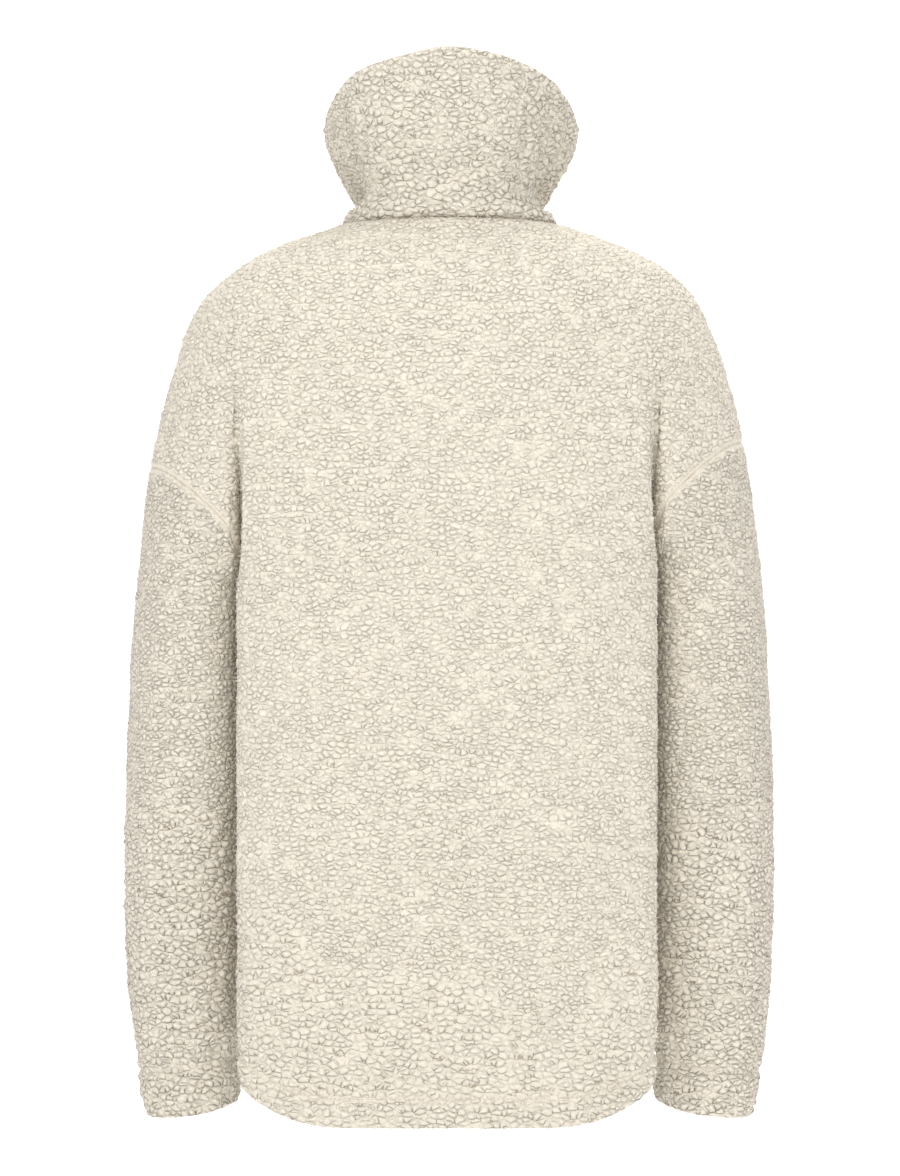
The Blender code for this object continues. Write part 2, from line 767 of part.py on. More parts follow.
def zip_half(name, path, finish, collection):
    """A half zip swept along a front edge."""
    section = zip_section()
    vertices = []
    faces = []
    for place, normal, across in path:
        vertices += [place + across * a + normal * b for a, b in section]
    size = len(section)
    for i in range(len(path) - 1):
        for k in range(size):
            after = (k + 1) % size
            faces.append([i * size + k, i * size + after, (i + 1) * size + after, (i + 1) * size + k])
    faces.append(list(range(size)))
    faces.append([(len(path) - 1) * size + k for k in reversed(range(size))])
    made = mesh_object(name, vertices, faces, finish, collection)
    orient_outwards(made.data)
    return made


def orient_outwards(mesh):
    """Turns a closed mesh's faces outwards."""
    work = bmesh.new()
    work.from_mesh(mesh)
    bmesh.ops.recalc_face_normals(work, faces=work.faces)
    work.to_mesh(mesh)
    work.free()


def box_object(name, size, centre, collection):
    """A box of a millimetre size about a millimetre centre."""
    work = bmesh.new()
    bmesh.ops.create_cube(work, size=1.0)
    bmesh.ops.scale(work, verts=work.verts, vec=Vector(size) * MM)
    bmesh.ops.translate(work, verts=work.verts, vec=Vector(centre) * MM)
    mesh = bpy.data.meshes.new(name)
    work.to_mesh(mesh)
    work.free()
    made = bpy.data.objects.new(name, mesh)
    collection.objects.link(made)
    return made


def combine(target, other, operation, cutters):
    """Joins or cuts an object with another, which is kept hidden as a guide."""
    change = target.modifiers.new(f"{operation.lower()}_{other.name}", "BOOLEAN")
    change.operation = operation
    change.solver = "EXACT"
    change.object = other
    for holder in list(other.users_collection):
        holder.objects.unlink(other)
    cutters.objects.link(other)
    other.hide_render = True
    other.display_type = "WIRE"


def slider_frame(paths):
    """The slider's place and lie, between the two halves of the zip."""
    places = []
    normals = []
    for path in paths:
        spine = [place for place, normal, across in path]
        for i in range(len(spine) - 1):
            low, high = spine[i], spine[i + 1]
            if low[2] <= SLIDER_Z < high[2]:
                share = (SLIDER_Z - low[2]) / (high[2] - low[2])
                places.append(low + (high - low) * share)
                normals.append(unit(path[i][1] + path[i + 1][1]))
    centre = sum(places) / len(places)
    centre[0] = 0.0
    normal = sum(normals)
    normal[0] = 0.0
    normal = unit(normal)
    return centre, normal


def placed(target, centre, normal):
    """Lays an object modelled flat, with X across, Y up the zip and Z outwards, on the front's slope."""
    out = Vector(normal)
    across = Vector((-1.0, 0.0, 0.0))
    up = out.cross(across)
    turn = Matrix((across, up, out)).transposed().to_4x4()
    target.matrix_world = Matrix.Translation(Vector(centre) * MM) @ turn


def slider(centre, normal, finish, collection, cutters):
    """Two plates with a wedge between them and a crown that the pull tab hangs on."""
    wide, long, thick = PLATE_SIZE
    level = ZIP_CHAIN_THICK / 2.0 + PLATE_CLEARANCE + thick / 2.0
    crown_high = CROWN_SIZE[2]
    top = level + thick / 2.0
    body = box_object("zip_slider", PLATE_SIZE, (0.0, 0.0, level), collection)
    back = box_object("back_plate", PLATE_SIZE, (0.0, 0.0, -level), cutters)
    wedge_place = (0.0, long / 2.0 - WEDGE_SIZE[1] / 2.0 - WEDGE_BACK, 0.0)
    wedge = box_object("wedge", (*WEDGE_SIZE, 2.0 * (level + JOIN_DEPTH)), wedge_place, cutters)
    crown_size = (CROWN_SIZE[0], CROWN_SIZE[1], crown_high + JOIN_DEPTH)
    crown = box_object("crown", crown_size, (0.0, 0.0, top + (crown_high - JOIN_DEPTH) / 2.0), cutters)
    window_size = (2.0 * CROWN_SIZE[0], CROWN_WINDOW, CROWN_WINDOW)
    window = box_object("crown_window", window_size, (0.0, 0.0, top + CROWN_WINDOW / 2.0), cutters)
    for piece in (back, wedge, crown):
        combine(body, piece, "UNION", cutters)
    combine(body, window, "DIFFERENCE", cutters)
    body.data.materials.append(finish)
    for piece in (body, back, wedge, crown, window):
        placed(piece, centre, normal)
    return top + CROWN_WINDOW / 2.0


def pull_tab(centre, normal, axis_level, finish, collection, cutters):
    """A flat tab whose top bar passes through the slider's crown."""
    wide, long, thick = PULL_SIZE
    middle = PULL_BAR / 2.0 - long / 2.0
    tab = box_object("zip_pull", PULL_SIZE, (0.0, middle, 0.0), collection)
    eye_place = (0.0, -PULL_BAR / 2.0 - PULL_EYE[1] / 2.0, 0.0)
    eye = box_object("pull_eye", (*PULL_EYE, thick * 3.0), eye_place, cutters)
    hole_place = (0.0, -PULL_BAR / 2.0 - PULL_EYE[1] - PULL_BRIDGE - PULL_HOLE_SIZE[1] / 2.0, 0.0)
    hole = box_object("pull_hole", (*PULL_HOLE_SIZE, thick * 3.0), hole_place, cutters)
    combine(tab, eye, "DIFFERENCE", cutters)
    combine(tab, hole, "DIFFERENCE", cutters)
    tab.data.materials.append(finish)
    axis = np.array(centre) + np.array(normal) * axis_level
    for piece in (tab, eye, hole):
        placed(piece, axis, normal)
    return axis


def clear_scene():
    """Removes what a new file holds."""
    for item in list(bpy.data.objects):
        bpy.data.objects.remove(item, do_unlink=True)


def main():
    clear_scene()
    jacket = bpy.data.collections.new("pile_fleece_jacket")
    cutters = bpy.data.collections.new("cutters")
    bpy.context.scene.collection.children.link(jacket)
    bpy.context.scene.collection.children.link(cutters)
    fleece = material("ivory_pile_fleece", (0.76, 0.71, 0.61), 0.95)
    tape = material("ivory_zip_tape", (0.72, 0.67, 0.57), 0.8)
    metal = material("brushed_nickel", (0.62, 0.60, 0.57), 0.35, 1.0)

    quarters = {(side, face): quarter_columns(side, face) for side in (LEFT, RIGHT) for face in (BACK, FRONT)}
    back_columns = quarters[LEFT, BACK][::-1] + quarters[RIGHT, BACK][1:]
    hem_row = len(PANEL_WALLS) - 1
    back = Sheet("back", as_rows(back_columns), PANEL_WALLS, rim_row=hem_row)
    fronts = {
        LEFT: Sheet("front_left", as_rows(quarters[LEFT, FRONT]), PANEL_WALLS, rim_row=hem_row),
        RIGHT: Sheet("front_right", as_rows(quarters[RIGHT, FRONT][::-1]), PANEL_WALLS, rim_row=hem_row),
    }
    sleeves = {}
    for side, name in ((LEFT, "sleeve_left"), (RIGHT, "sleeve_right")):
        first, second = (FRONT, BACK) if side == LEFT else (BACK, FRONT)
        columns = [sleeve_column(side, first, column) for column in SLEEVE_COLUMNS]
        columns += [sleeve_column(side, second, column) for column in SLEEVE_COLUMNS[-2:0:-1]]
        cuff_row = len(SLEEVE_WALLS) - 1
        sleeves[side] = Sheet(name, as_rows(columns), SLEEVE_WALLS, ring=True, rim_row=cuff_row)
    left_collar = collar_columns(LEFT)
    right_collar = collar_columns(RIGHT)
    around = left_collar[::-1] + right_collar[1:]
    fine_collar = Sheet("fine_collar", as_rows(around), COLLAR_WALLS, rim_row=0)

    shared = {}
    for sheet in (back, *fronts.values(), *sleeves.values(), fine_collar):
        sheet.add_normals(shared)
    for side in (LEFT, RIGHT):
        for point in quarters[side, FRONT][0]:
            if point[2] < ZIP_PARTS_Z:
                shared[place_key(point)][0] = 0.0
        armpit = shell_point(side, BACK, 2.0, ARMPIT_Z[side], False)
        shared[place_key(armpit)] = np.array((0.0, 0.0, -1.0))
    collar = Sheet("collar", as_rows(thinned(around, shared)), COLLAR_WALLS, rim_row=0, free_sides=True)
    for sheet in (back, *fronts.values()):
        mesh_object(sheet.name, *cloth_wall(sheet, shared, SEAM_GAP / 2.0), fleece, jacket)
    for sheet in (*sleeves.values(), collar):
        mesh_object(sheet.name, *cloth_wall(sheet, shared, SEAM_GAP), fleece, jacket)

    paths = [zip_path(fronts[side], collar, shared, side) for side in (LEFT, RIGHT)]
    zip_half("zip_left", paths[0], tape, jacket)
    zip_half("zip_right", paths[1], tape, jacket)
    centre, normal = slider_frame(paths)
    axis_level = slider(centre, normal, metal, jacket, cutters)
    axis = pull_tab(centre, normal, axis_level, metal, jacket, cutters)
    print("pull tab's axis, mm:", [round(float(v), 3) for v in axis], "out:", [round(float(v), 3) for v in normal])


main()
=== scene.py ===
import math

import bmesh
import bpy
import numpy as np
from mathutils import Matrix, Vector
from mathutils.bvhtree import BVHTree


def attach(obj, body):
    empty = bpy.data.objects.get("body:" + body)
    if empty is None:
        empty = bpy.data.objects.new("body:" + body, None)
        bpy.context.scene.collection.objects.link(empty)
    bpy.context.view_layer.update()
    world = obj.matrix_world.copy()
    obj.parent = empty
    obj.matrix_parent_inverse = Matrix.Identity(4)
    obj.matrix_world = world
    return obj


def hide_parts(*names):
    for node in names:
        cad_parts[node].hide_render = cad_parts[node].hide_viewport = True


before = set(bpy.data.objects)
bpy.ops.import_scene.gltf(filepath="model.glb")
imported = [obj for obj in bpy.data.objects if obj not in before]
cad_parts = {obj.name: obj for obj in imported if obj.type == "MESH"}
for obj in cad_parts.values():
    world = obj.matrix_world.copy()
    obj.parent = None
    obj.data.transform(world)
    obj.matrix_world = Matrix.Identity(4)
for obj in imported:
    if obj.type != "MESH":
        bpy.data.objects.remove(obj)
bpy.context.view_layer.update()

MM = 0.001
LEFT, RIGHT = -1, 1
BACK, FRONT = -1, 1

# Cloth and its edges, in millimetres as all the tables
WALL = 6.0
COLLAR_WALL = 10.0
CUFF_WALL = WALL + 1.0
RIM_WALL = COLLAR_WALL * 0.9
HEM_ROLL = 2.4
CUFF_ROLL = 3.0
RIM_ROLL = 3.2
ROLL_TURN_DEG = 165.0
ROLL_ROWS = 5
INNER_STEP = 4

# Places that shape the body and the sleeves
CREASE_X = 166.0
CREASE_SHARE = 0.8
LIP_APART = 8.0
CREASE_TOP_Z = -75.0
ARMPIT_X = 154.0
SIDE_CLEARANCE = 4.0
CLEARANCE_RUN = 25.0
ARMPIT_Z = {LEFT: -282.0, RIGHT: -262.0}
ARMHOLE_TOP_Z = {LEFT: -192.0, RIGHT: -172.0}
ARMHOLE_FLAT = 1.5
ARMHOLE_POWER = 3.9
EVEN_ROWS_FROM = 0.12
SLEEVE_FREE_RUN = 100.0
SLEEVE_POWER = 2.5
SLEEVE_LIP_DEG = 50.0

# Neckline, hem and cuff edges
NECK_SIDE_Z = 2.0
NECK_BACK_RISE = 3.0
NECK_FRONT_DROP = 72.0
NECK_FRONT_FLAT = 1.25
NECK_FRONT_POWER = 5.0
HEM_SIDE_Z = -637.0
HEM_CENTRE_Z = {BACK: -708.0, FRONT: -694.0}
HEM_CURVE_START = 0.3
HEM_CURVE_POWER = 1.35
CUFF_Z = -709.0
CUFF_INNER_RISE = 12.0
HEM_BAND = 21.0
CUFF_BAND = 35.0

# Outline of yoke and sleeves seen from behind, as half-widths
OUTLINE = (
    # z, left, right
    (8.0, 76.0, 80.0),
    (2.0, 87.0, 91.0),
    (-2.0, 97.0, 103.0),
    (-10.0, 122.0, 127.0),
    (-22.0, 149.0, 155.0),
    (-34.0, 169.0, 176.0),
    (-58.0, 195.0, 199.0),
    (-82.0, 208.0, 211.0),
    (-106.0, 216.0, 220.0),
    (-154.0, 229.0, 233.0),
    (-202.0, 239.0, 242.0),
    (-250.0, 244.0, 248.0),
    (-370.0, 254.0, 258.0),
    (-514.0, 258.0, 262.0),
    (-586.0, 257.0, 260.0),
    (-658.0, 250.0, 254.0),
    (-710.0, 241.0, 245.0),
)
BACK_DEPTH = (
    # z, depth at the centre line
    (5.0, 74.0),
    (-20.0, 96.0),
    (-45.0, 109.0),
    (-80.0, 119.0),
    (-130.0, 127.0),
    (-200.0, 131.0),
    (-300.0, 131.0),
    (-450.0, 128.0),
    (-560.0, 129.0),
    (-720.0, 124.0),
)
FRONT_DEPTH = (
    # z, depth at the centre line
    (2.0, 28.0),
    (-22.0, 46.0),
    (-57.0, 72.0),
    (-70.0, 80.0),
    (-110.0, 110.0),
    (-160.0, 129.0),
    (-230.0, 137.0),
    (-350.0, 136.0),
    (-500.0, 132.0),
    (-720.0, 128.0),
)
RING_POWER = (
    # z, how square the level section is
    (0.0, 2.0),
    (-80.0, 2.15),
    (-280.0, 2.35),
)
BODY_SECTION = (
    # across, deep
    (0.0, 1.0),
    (0.36, 0.985),
    (0.66, 0.91),
    (0.87, 0.78),
    (0.975, 0.67),
    (1.0, 0.59),
    (0.98, 0.48),
    (0.935, 0.36),
    (0.912, 0.20),
    (0.904, 0.0),
)
BODY_LIP_ROW = 5
HEM_DRAW = (
    # z, drawn in
    (-640.0, 0.0),
    (-680.0, 2.5),
    (-710.0, 6.0),
)
SLEEVE = (
    # z, inner side, half depth, hanging forward
    (-60.0, 154.0, 74.0, 0.0),
    (-262.0, 154.0, 76.0, 0.0),
    (-400.0, 154.0, 71.0, 3.0),
    (-540.0, 155.0, 64.0, 10.0),
    (-640.0, 158.0, 57.0, 18.0),
    (-674.0, 162.0, 52.0, 22.0),
    (-712.0, 165.0, 51.0, 25.0),
)

# Folds of the body: the large ones of the cut first, then the small ones of wear
BODY_FOLDS = (
    # face, x, z, half_wide, half_long, lean, height
    (BACK, -38.0, -250.0, 34.0, 190.0, 0.00, 3.0),
    (BACK, 44.0, -520.0, 26.0, 150.0, -0.10, -3.0),
    (BACK, 8.0, -172.0, 9.0, 26.0, 1.40, -2.0),
    (BACK, -92.0, -590.0, 30.0, 110.0, 0.16, -2.5),
    (FRONT, -70.0, -330.0, 30.0, 150.0, 0.22, -3.0),
    (FRONT, 82.0, -420.0, 32.0, 170.0, -0.18, -3.0),
    (FRONT, 52.0, -150.0, 24.0, 70.0, 0.55, 2.5),
    (BACK, -8.0, -210.0, 7.0, 60.0, 0.30, -1.4),
    (BACK, 96.0, -330.0, 10.0, 85.0, -0.12, -1.3),
    (BACK, -118.0, -270.0, 9.0, 55.0, 0.25, -1.4),
    (BACK, 124.0, -520.0, 11.0, 90.0, 0.08, -1.6),
    (BACK, -60.0, -640.0, 8.0, 34.0, -0.20, -1.2),
    (BACK, 20.0, -660.0, 9.0, 30.0, 0.15, 1.1),
    (FRONT, 34.0, -260.0, 9.0, 80.0, 0.20, -1.5),
    (FRONT, -42.0, -520.0, 10.0, 95.0, -0.14, -1.5),
    (FRONT, 118.0, -250.0, 8.0, 60.0, -0.35, -1.6),
    (FRONT, -120.0, -300.0, 8.0, 70.0, 0.32, -1.6),
    (FRONT, -28.0, -150.0, 8.0, 44.0, 0.50, -1.2),
)
FRONT_EDGE_CALM = 40.0

# Dents round the sleeves: the large buckles first, then short creases
SLEEVE_DENTS = (
    # side, z, half_high, from_deg, half_round_deg, slant, depth
    (RIGHT, -372.0, 24.0, 120.0, 70.0, 0.25, 3.5),
    (RIGHT, -470.0, 30.0, 60.0, 70.0, 0.25, 3.0),
    (RIGHT, -600.0, 22.0, 110.0, 70.0, 0.25, 2.5),
    (LEFT, -400.0, 26.0, 110.0, 70.0, 0.25, 3.0),
    (LEFT, -520.0, 28.0, 60.0, 70.0, 0.25, 3.5),
    (LEFT, -612.0, 20.0, 120.0, 70.0, 0.25, 2.5),
    (RIGHT, -330.0, 7.0, 40.0, 35.0, 0.50, 1.8),
    (RIGHT, -424.0, 6.0, 150.0, 30.0, -0.40, 1.5),
    (RIGHT, -545.0, 7.0, 30.0, 45.0, 0.60, 2.0),
    (RIGHT, -640.0, 6.0, 60.0, 40.0, -0.30, 1.8),
    (LEFT, -345.0, 7.0, 35.0, 35.0, -0.50, 1.8),
    (LEFT, -450.0, 6.0, 140.0, 35.0, 0.35, 1.6),
    (LEFT, -570.0, 7.0, 40.0, 40.0, -0.45, 2.0),
    (LEFT, -648.0, 6.0, 90.0, 45.0, 0.30, 1.8),
)

# Collar: its rim from the centre back to the tip of the fallen-open front
COLLAR_RIM = (
    # x_left, x_right, y, z
    (0.0, 0.0, -95.0, 134.0),
    (34.0, 43.0, -89.0, 128.0),
    (64.0, 67.0, -70.0, 121.0),
    (81.0, 84.0, -47.0, 112.5),
    (92.0, 97.0, -20.0, 99.0),
    (98.0, 104.0, 6.0, 85.0),
    (99.0, 106.0, 30.0, 74.0),
    (93.0, 100.0, 60.0, 58.0),
    (74.0, 79.0, 84.0, 38.0),
)
COLLAR_WAIST = (
    # share of height, sunk
    (0.0, 0.0),
    (0.1, 10.0),
    (0.22, 16.0),
    (0.32, 12.5),
    (0.45, 7.0),
    (0.62, 2.0),
    (0.8, 0.0),
    (1.0, 0.0),
)
COLLAR_WAIST_WEIGHT = (
    # share from centre back, weight
    (0.0, 0.45),
    (0.25, 0.75),
    (0.42, 1.05),
    (0.6, 1.4),
    (0.8, 1.1),
    (1.0, 0.15),
)
COLLAR_ROLL_PLACE = 0.43
COLLAR_ROLL_WIDE = 0.06
COLLAR_ROLL_DEEP = 8.0
COLLAR_SHARE_AT_SIDE = 0.47
COLLAR_CREASES = (
    # side, share from centre back, share of height, half_wide, half_high, depth
    (LEFT, 0.30, 0.70, 0.020, 0.22, 2.2),
    (RIGHT, 0.27, 0.45, 0.018, 0.20, 2.0),
    (RIGHT, 0.40, 0.72, 0.022, 0.25, 2.4),
    (LEFT, 0.12, 0.30, 0.030, 0.15, 1.4),
    (RIGHT, 0.10, 0.36, 0.034, 0.12, 1.2),
    (LEFT, 0.62, 0.50, 0.030, 0.30, 2.0),
    (RIGHT, 0.66, 0.55, 0.030, 0.28, 2.0),
)

# Seams and bands of stitches, as pairs: how far each draws the cloth in or lifts it, and how wide that is
ARMHOLE_DIP = (1.5, 2.2)
NECK_DIP = (2.6, 2.4)
SEAM_DIP = (1.3, 2.4)
HEM_DIP = (2.3, 2.4)
ABOVE_HEM_DIP = (0.9, 7.0)
ABOVE_HEM = 6.0
HEM_SWELL = (1.1, 8.0)
HEM_MIDDLE = 10.0
HEM_PUCKER = (0.9, 16.0)
CUFF_DIP = (2.3, 3.0)
ABOVE_CUFF_DIP = (1.6, 9.0)
ABOVE_CUFF = 9.0
CUFF_SWELL = (1.3, 12.0)
CUFF_MIDDLE = 15.0
CUFF_GATHERS = (1.9, 17.0)
CUFF_EDGE_GATHERS = (0.8, 16.0)
COLLAR_SWELL = (2.0, 5.0)
COLLAR_SWELL_PLACE = 9.0

# How fast the pile's lumps come back beside a seam, and how much a pressed band flattens them
CALM_RUN = 5.0
PRESSED_CALM = 0.85
EDGE_PILE = 0.9
FAR = 900.0

# Zip, measured across from a front edge
ZIP_HALF_GAP = 5.0
ZIP_PARTS_Z = -100.0
ZIP_PARTED_EDGE = 14.0
TAPE_END = 4.0
TAPE_STEPS = 300
TOOTH_PITCH = 2.6
TEETH_END = 6.0
TAPE_SECTION = (
    # across, out
    (0.45, -0.35),
    (0.75, -0.55),
    (2.60, -0.55),
    (2.95, -0.30),
    (2.95, 0.30),
    (2.60, 0.55),
    (0.75, 0.55),
    (0.45, 0.35),
)
TOOTH_RINGS = (
    # across, half of its height, half of its depth
    (2.3, 0.55, 1.30),
    (3.1, 0.58, 1.30),
    (4.0, 0.55, 1.20),
    (4.6, 0.50, 1.05),
    (5.5, 0.52, 1.05),
    (5.9, 0.40, 0.80),
)
TOOTH_CORNERS = ((-1, -0.7), (-0.8, -1), (0.8, -1), (1, -0.7), (1, 0.7), (0.8, 1), (-0.8, 1), (-1, 0.7))

# Stitches: first and last column and points of a line; and how many loose pile ends a square metre has
STITCH_PITCH = 3.6
STITCH_SIDES = 6
STITCH_RINGS = (
    # along, radius, level
    (-1.35, 0.16, -0.35),
    (-0.95, 0.36, -0.08),
    (0.0, 0.42, 0.05),
    (0.95, 0.36, -0.08),
    (1.35, 0.16, -0.35),
)
HEM_STITCHES = (0.02, 1.96, 120)
ARM_STITCHES = (2.1, 3.99, 90)
EDGE_STITCHES = 120
EDGE_STITCH_IN = 7.0
ARMHOLE_STITCH_DOWN = 4.2
COLLAR_STITCH_COLUMNS = (4, -5)
TUFT_DENSITY = 34000.0
TUFT_SIZES = (0.6, 1.25)


class Profile:
    """A smooth curve through a table's points that never swings past them, and level beyond its ends."""

    def __init__(self, keys, values):
        order = np.argsort(keys)
        self.keys = np.array(keys, float)[order]
        self.values = np.array(values, float)[order]
        rise = np.diff(self.values) / np.diff(self.keys)
        self.slopes = np.zeros(len(self.keys))
        self.slopes[0] = rise[0]
        self.slopes[-1] = rise[-1]
        for i in range(1, len(rise)):
            if rise[i - 1] * rise[i] > 0.0:
                self.slopes[i] = 2.0 / (1.0 / rise[i - 1] + 1.0 / rise[i])

    def __call__(self, key):
        key = np.clip(key, self.keys[0], self.keys[-1])
        i = np.clip(np.searchsorted(self.keys, key) - 1, 0, len(self.keys) - 2)
        run = self.keys[i + 1] - self.keys[i]
        t = (key - self.keys[i]) / run
        ease = t * t * (3.0 - 2.0 * t)
        start = self.values[i] * (1.0 - ease) + self.slopes[i] * run * t * (1.0 - t) ** 2
        end = self.values[i + 1] * ease - self.slopes[i + 1] * run * t * t * (1.0 - t)
        return start + end


def column_profile(table, column):
    """The profile of one column of a table against its first column."""
    return Profile([row[0] for row in table], [row[column] for row in table])


def smooth(share):
    """An even ease from 0 to 1."""
    share = np.clip(share, 0.0, 1.0)
    return share * share * (3.0 - 2.0 * share)


def bump(distance, width):
    """A soft hump, 1 at no distance."""
    return np.exp(-((distance / width) ** 2))


def dip(distance, depth_and_width):
    """A soft hump of a given height and width."""
    return depth_and_width[0] * bump(distance, depth_and_width[1])


def unit(vectors):
    """The vectors at length one."""
    return vectors / np.maximum(np.linalg.norm(vectors, axis=-1, keepdims=True), 1e-9)


def path_shares(points):
    """Shares of the length along a row of points, from 0 to 1."""
    steps = np.linalg.norm(np.diff(points, axis=0), axis=1)
    return np.concatenate([[0.0], np.cumsum(steps)]) / steps.sum()


HALF_WIDTH = {LEFT: column_profile(OUTLINE, 1), RIGHT: column_profile(OUTLINE, 2)}
DEPTH = {BACK: column_profile(BACK_DEPTH, 1), FRONT: column_profile(FRONT_DEPTH, 1)}
POWER = column_profile(RING_POWER, 1)
SLEEVE_INNER = column_profile(SLEEVE, 1)
SLEEVE_HALF_DEEP = column_profile(SLEEVE, 2)
SLEEVE_FORWARD = column_profile(SLEEVE, 3)
HEM_DRAWN = column_profile(HEM_DRAW, 1)
SECTION_SHARES = path_shares(np.array([(a * CREASE_X, d * BACK_DEPTH[5][1]) for a, d in BODY_SECTION]))
SECTION_ACROSS = Profile(SECTION_SHARES, [row[0] for row in BODY_SECTION])
SECTION_DEEP = Profile(SECTION_SHARES, [row[1] for row in BODY_SECTION])
SECTION_DEEP.slopes[0] = 0.0
LIP_SHARE = float(SECTION_SHARES[BODY_LIP_ROW])
WAIST_SUNK = column_profile(COLLAR_WAIST, 1)
WAIST_WEIGHT = column_profile(COLLAR_WAIST_WEIGHT, 1)


def body_share(column):
    """A body column's share of the way from the centre line to the side seam."""
    return np.where(column <= 1.0, LIP_SHARE * column, LIP_SHARE + (1.0 - LIP_SHARE) * (column - 1.0))


def sleeve_angle(column):
    """A sleeve column's angle round the sleeve, from 0 at its inner side to 180 degrees at the outline."""
    outer = SLEEVE_LIP_DEG + (180.0 - SLEEVE_LIP_DEG) * (column - 3.0)
    return np.where(column <= 3.0, SLEEVE_LIP_DEG * (column - 2.0), outer)


def clearance(side, z):
    """How far the body's side and the sleeve have each moved away from the armpit's line."""
    return SIDE_CLEARANCE * smooth((ARMPIT_Z[side] - z) / CLEARANCE_RUN)


def yoke_angle(side, column, z):
    """A column's angle round the yoke's level section, from 0 at the centre line to a quarter turn."""
    half = HALF_WIDTH[side](z)
    crease = np.minimum(CREASE_X, CREASE_SHARE * half)
    places = np.stack([0.0 * half, crease - LIP_APART, crease, crease + LIP_APART, half])
    angles = np.arcsin(np.clip(places / half, 0.0, 1.0) ** (POWER(z) / 2.0))
    i = np.clip(np.floor(column).astype(int), 0, 3)
    part = column - i
    low = np.take_along_axis(angles, i[None], 0)[0]
    high = np.take_along_axis(angles, i[None] + 1, 0)[0]
    return low + (high - low) * part


def yoke_point(side, face, column, z):
    """Places on the undivided section, as distances across and deep."""
    angle = yoke_angle(side, column, z)
    bend = 2.0 / POWER(z)
    across = HALF_WIDTH[side](z) * np.sin(angle) ** bend
    deep = DEPTH[face](z) * np.maximum(np.cos(angle), 0.0) ** bend
    return across, deep


def body_point(side, face, column, z):
    """Places on the body's own section below the armpit."""
    share = body_share(column)
    across = (CREASE_X - HEM_DRAWN(z)) * SECTION_ACROSS(share)
    eased = smooth((share - LIP_SHARE) / (1.0 - LIP_SHARE))
    across = across + eased * (ARMPIT_X - clearance(side, z) - CREASE_X * BODY_SECTION[-1][0])
    return across, DEPTH[face](z) * SECTION_DEEP(share)


def sleeve_dent(side, angle_deg, z):
    """How far the sleeve's surface sinks at its dents."""
    sunk = 0.0
    for dent_side, dent_z, half_high, from_deg, half_round, slant, depth in SLEEVE_DENTS:
        if dent_side == side:
            level = dent_z + slant * (angle_deg - from_deg)
            sunk = sunk + depth * bump(z - level, half_high) * bump(angle_deg - from_deg, half_round)
    return sunk


def sleeve_point(side, face, column, z):
    """Places on the sleeve's own section."""
    angle_deg = sleeve_angle(column)
    inner = SLEEVE_INNER(z) + clearance(side, z)
    outer = HALF_WIDTH[side](z)
    bend = 2.0 / SLEEVE_POWER
    sunk = sleeve_dent(side, angle_deg, z) * smooth((ARMPIT_Z[side] - z) / 60.0)
    half_wide = (outer - inner) / 2.0 - sunk * 0.4
    half_deep = SLEEVE_HALF_DEEP(z) - sunk
    cosine = np.cos(np.radians(angle_deg))
    sine = np.maximum(np.sin(np.radians(angle_deg)), 0.0)
    across = (inner + outer) / 2.0 - np.sign(cosine) * np.abs(cosine) ** bend * half_wide
    forward = SLEEVE_FORWARD(z) * smooth((ARMPIT_Z[side] - z) / SLEEVE_FREE_RUN)
    return across, half_deep * sine**bend + face * forward


def body_fold(face, x, z):
    """How far the body's cloth is raised at its folds."""
    raised = 0.0
    fade = smooth(np.abs(x) / FRONT_EDGE_CALM) if face == FRONT else 1.0
    for fold_face, fold_x, fold_z, half_wide, half_long, lean, height in BODY_FOLDS:
        if fold_face == face:
            across = x - fold_x - lean * (z - fold_z)
            raised = raised + height * bump(across, half_wide) * bump(z - fold_z, half_long)
    return raised * fade


def parting(side, z):
    """0 where the yoke is one section, 1 from the armpit down, where body and sleeve are apart."""
    share = np.clip((CREASE_TOP_Z - z) / (CREASE_TOP_Z - ARMPIT_Z[side]), 0.0, 1.0)
    return 1.0 - np.sqrt(1.0 - share * share)


def shell_points(side, face, column, z, on_sleeve):
    """Points of the jacket's outer surface."""
    section = sleeve_point if on_sleeve else body_point
    across, deep = section(side, face, column, z)
    yoke_across, yoke_deep = yoke_point(side, face, column, np.maximum(z, ARMPIT_Z[side]))
    parted = parting(side, z)
    across = yoke_across * (1.0 - parted) + across * parted
    deep = yoke_deep * (1.0 - parted) + deep * parted
    raised = body_fold(face, side * across, z) * smooth((1.0 - column) / 0.25)
    return np.stack([side * across, face * (deep + raised), z], axis=-1)


def armhole_z(side, column):
    """Height of the armhole seam at a column, from the crease to the outline."""
    share = sleeve_angle(column) / 180.0
    drop = ARMHOLE_TOP_Z[side] - ARMPIT_Z[side]
    return ARMHOLE_TOP_Z[side] - drop * (1.0 - share**ARMHOLE_FLAT) ** ARMHOLE_POWER


def neck_z(side, face, column):
    """Height of the neck seam at a column."""
    share = yoke_angle(side, column, 0.0 * column) / (math.pi / 2.0)
    if face == BACK:
        return NECK_SIDE_Z + NECK_BACK_RISE * (1.0 - share * share)
    return NECK_SIDE_Z - NECK_FRONT_DROP * (1.0 - share**NECK_FRONT_FLAT) ** NECK_FRONT_POWER


def hem_z(face, column):
    """Height of the hem's edge at a body column, curved up to the side seam."""
    start = HEM_CURVE_START
    eased = smooth(np.maximum((body_share(column) - start) / (1.0 - start), 0.0) ** HEM_CURVE_POWER)
    return HEM_CENTRE_Z[face] + (HEM_SIDE_Z - HEM_CENTRE_Z[face]) * eased


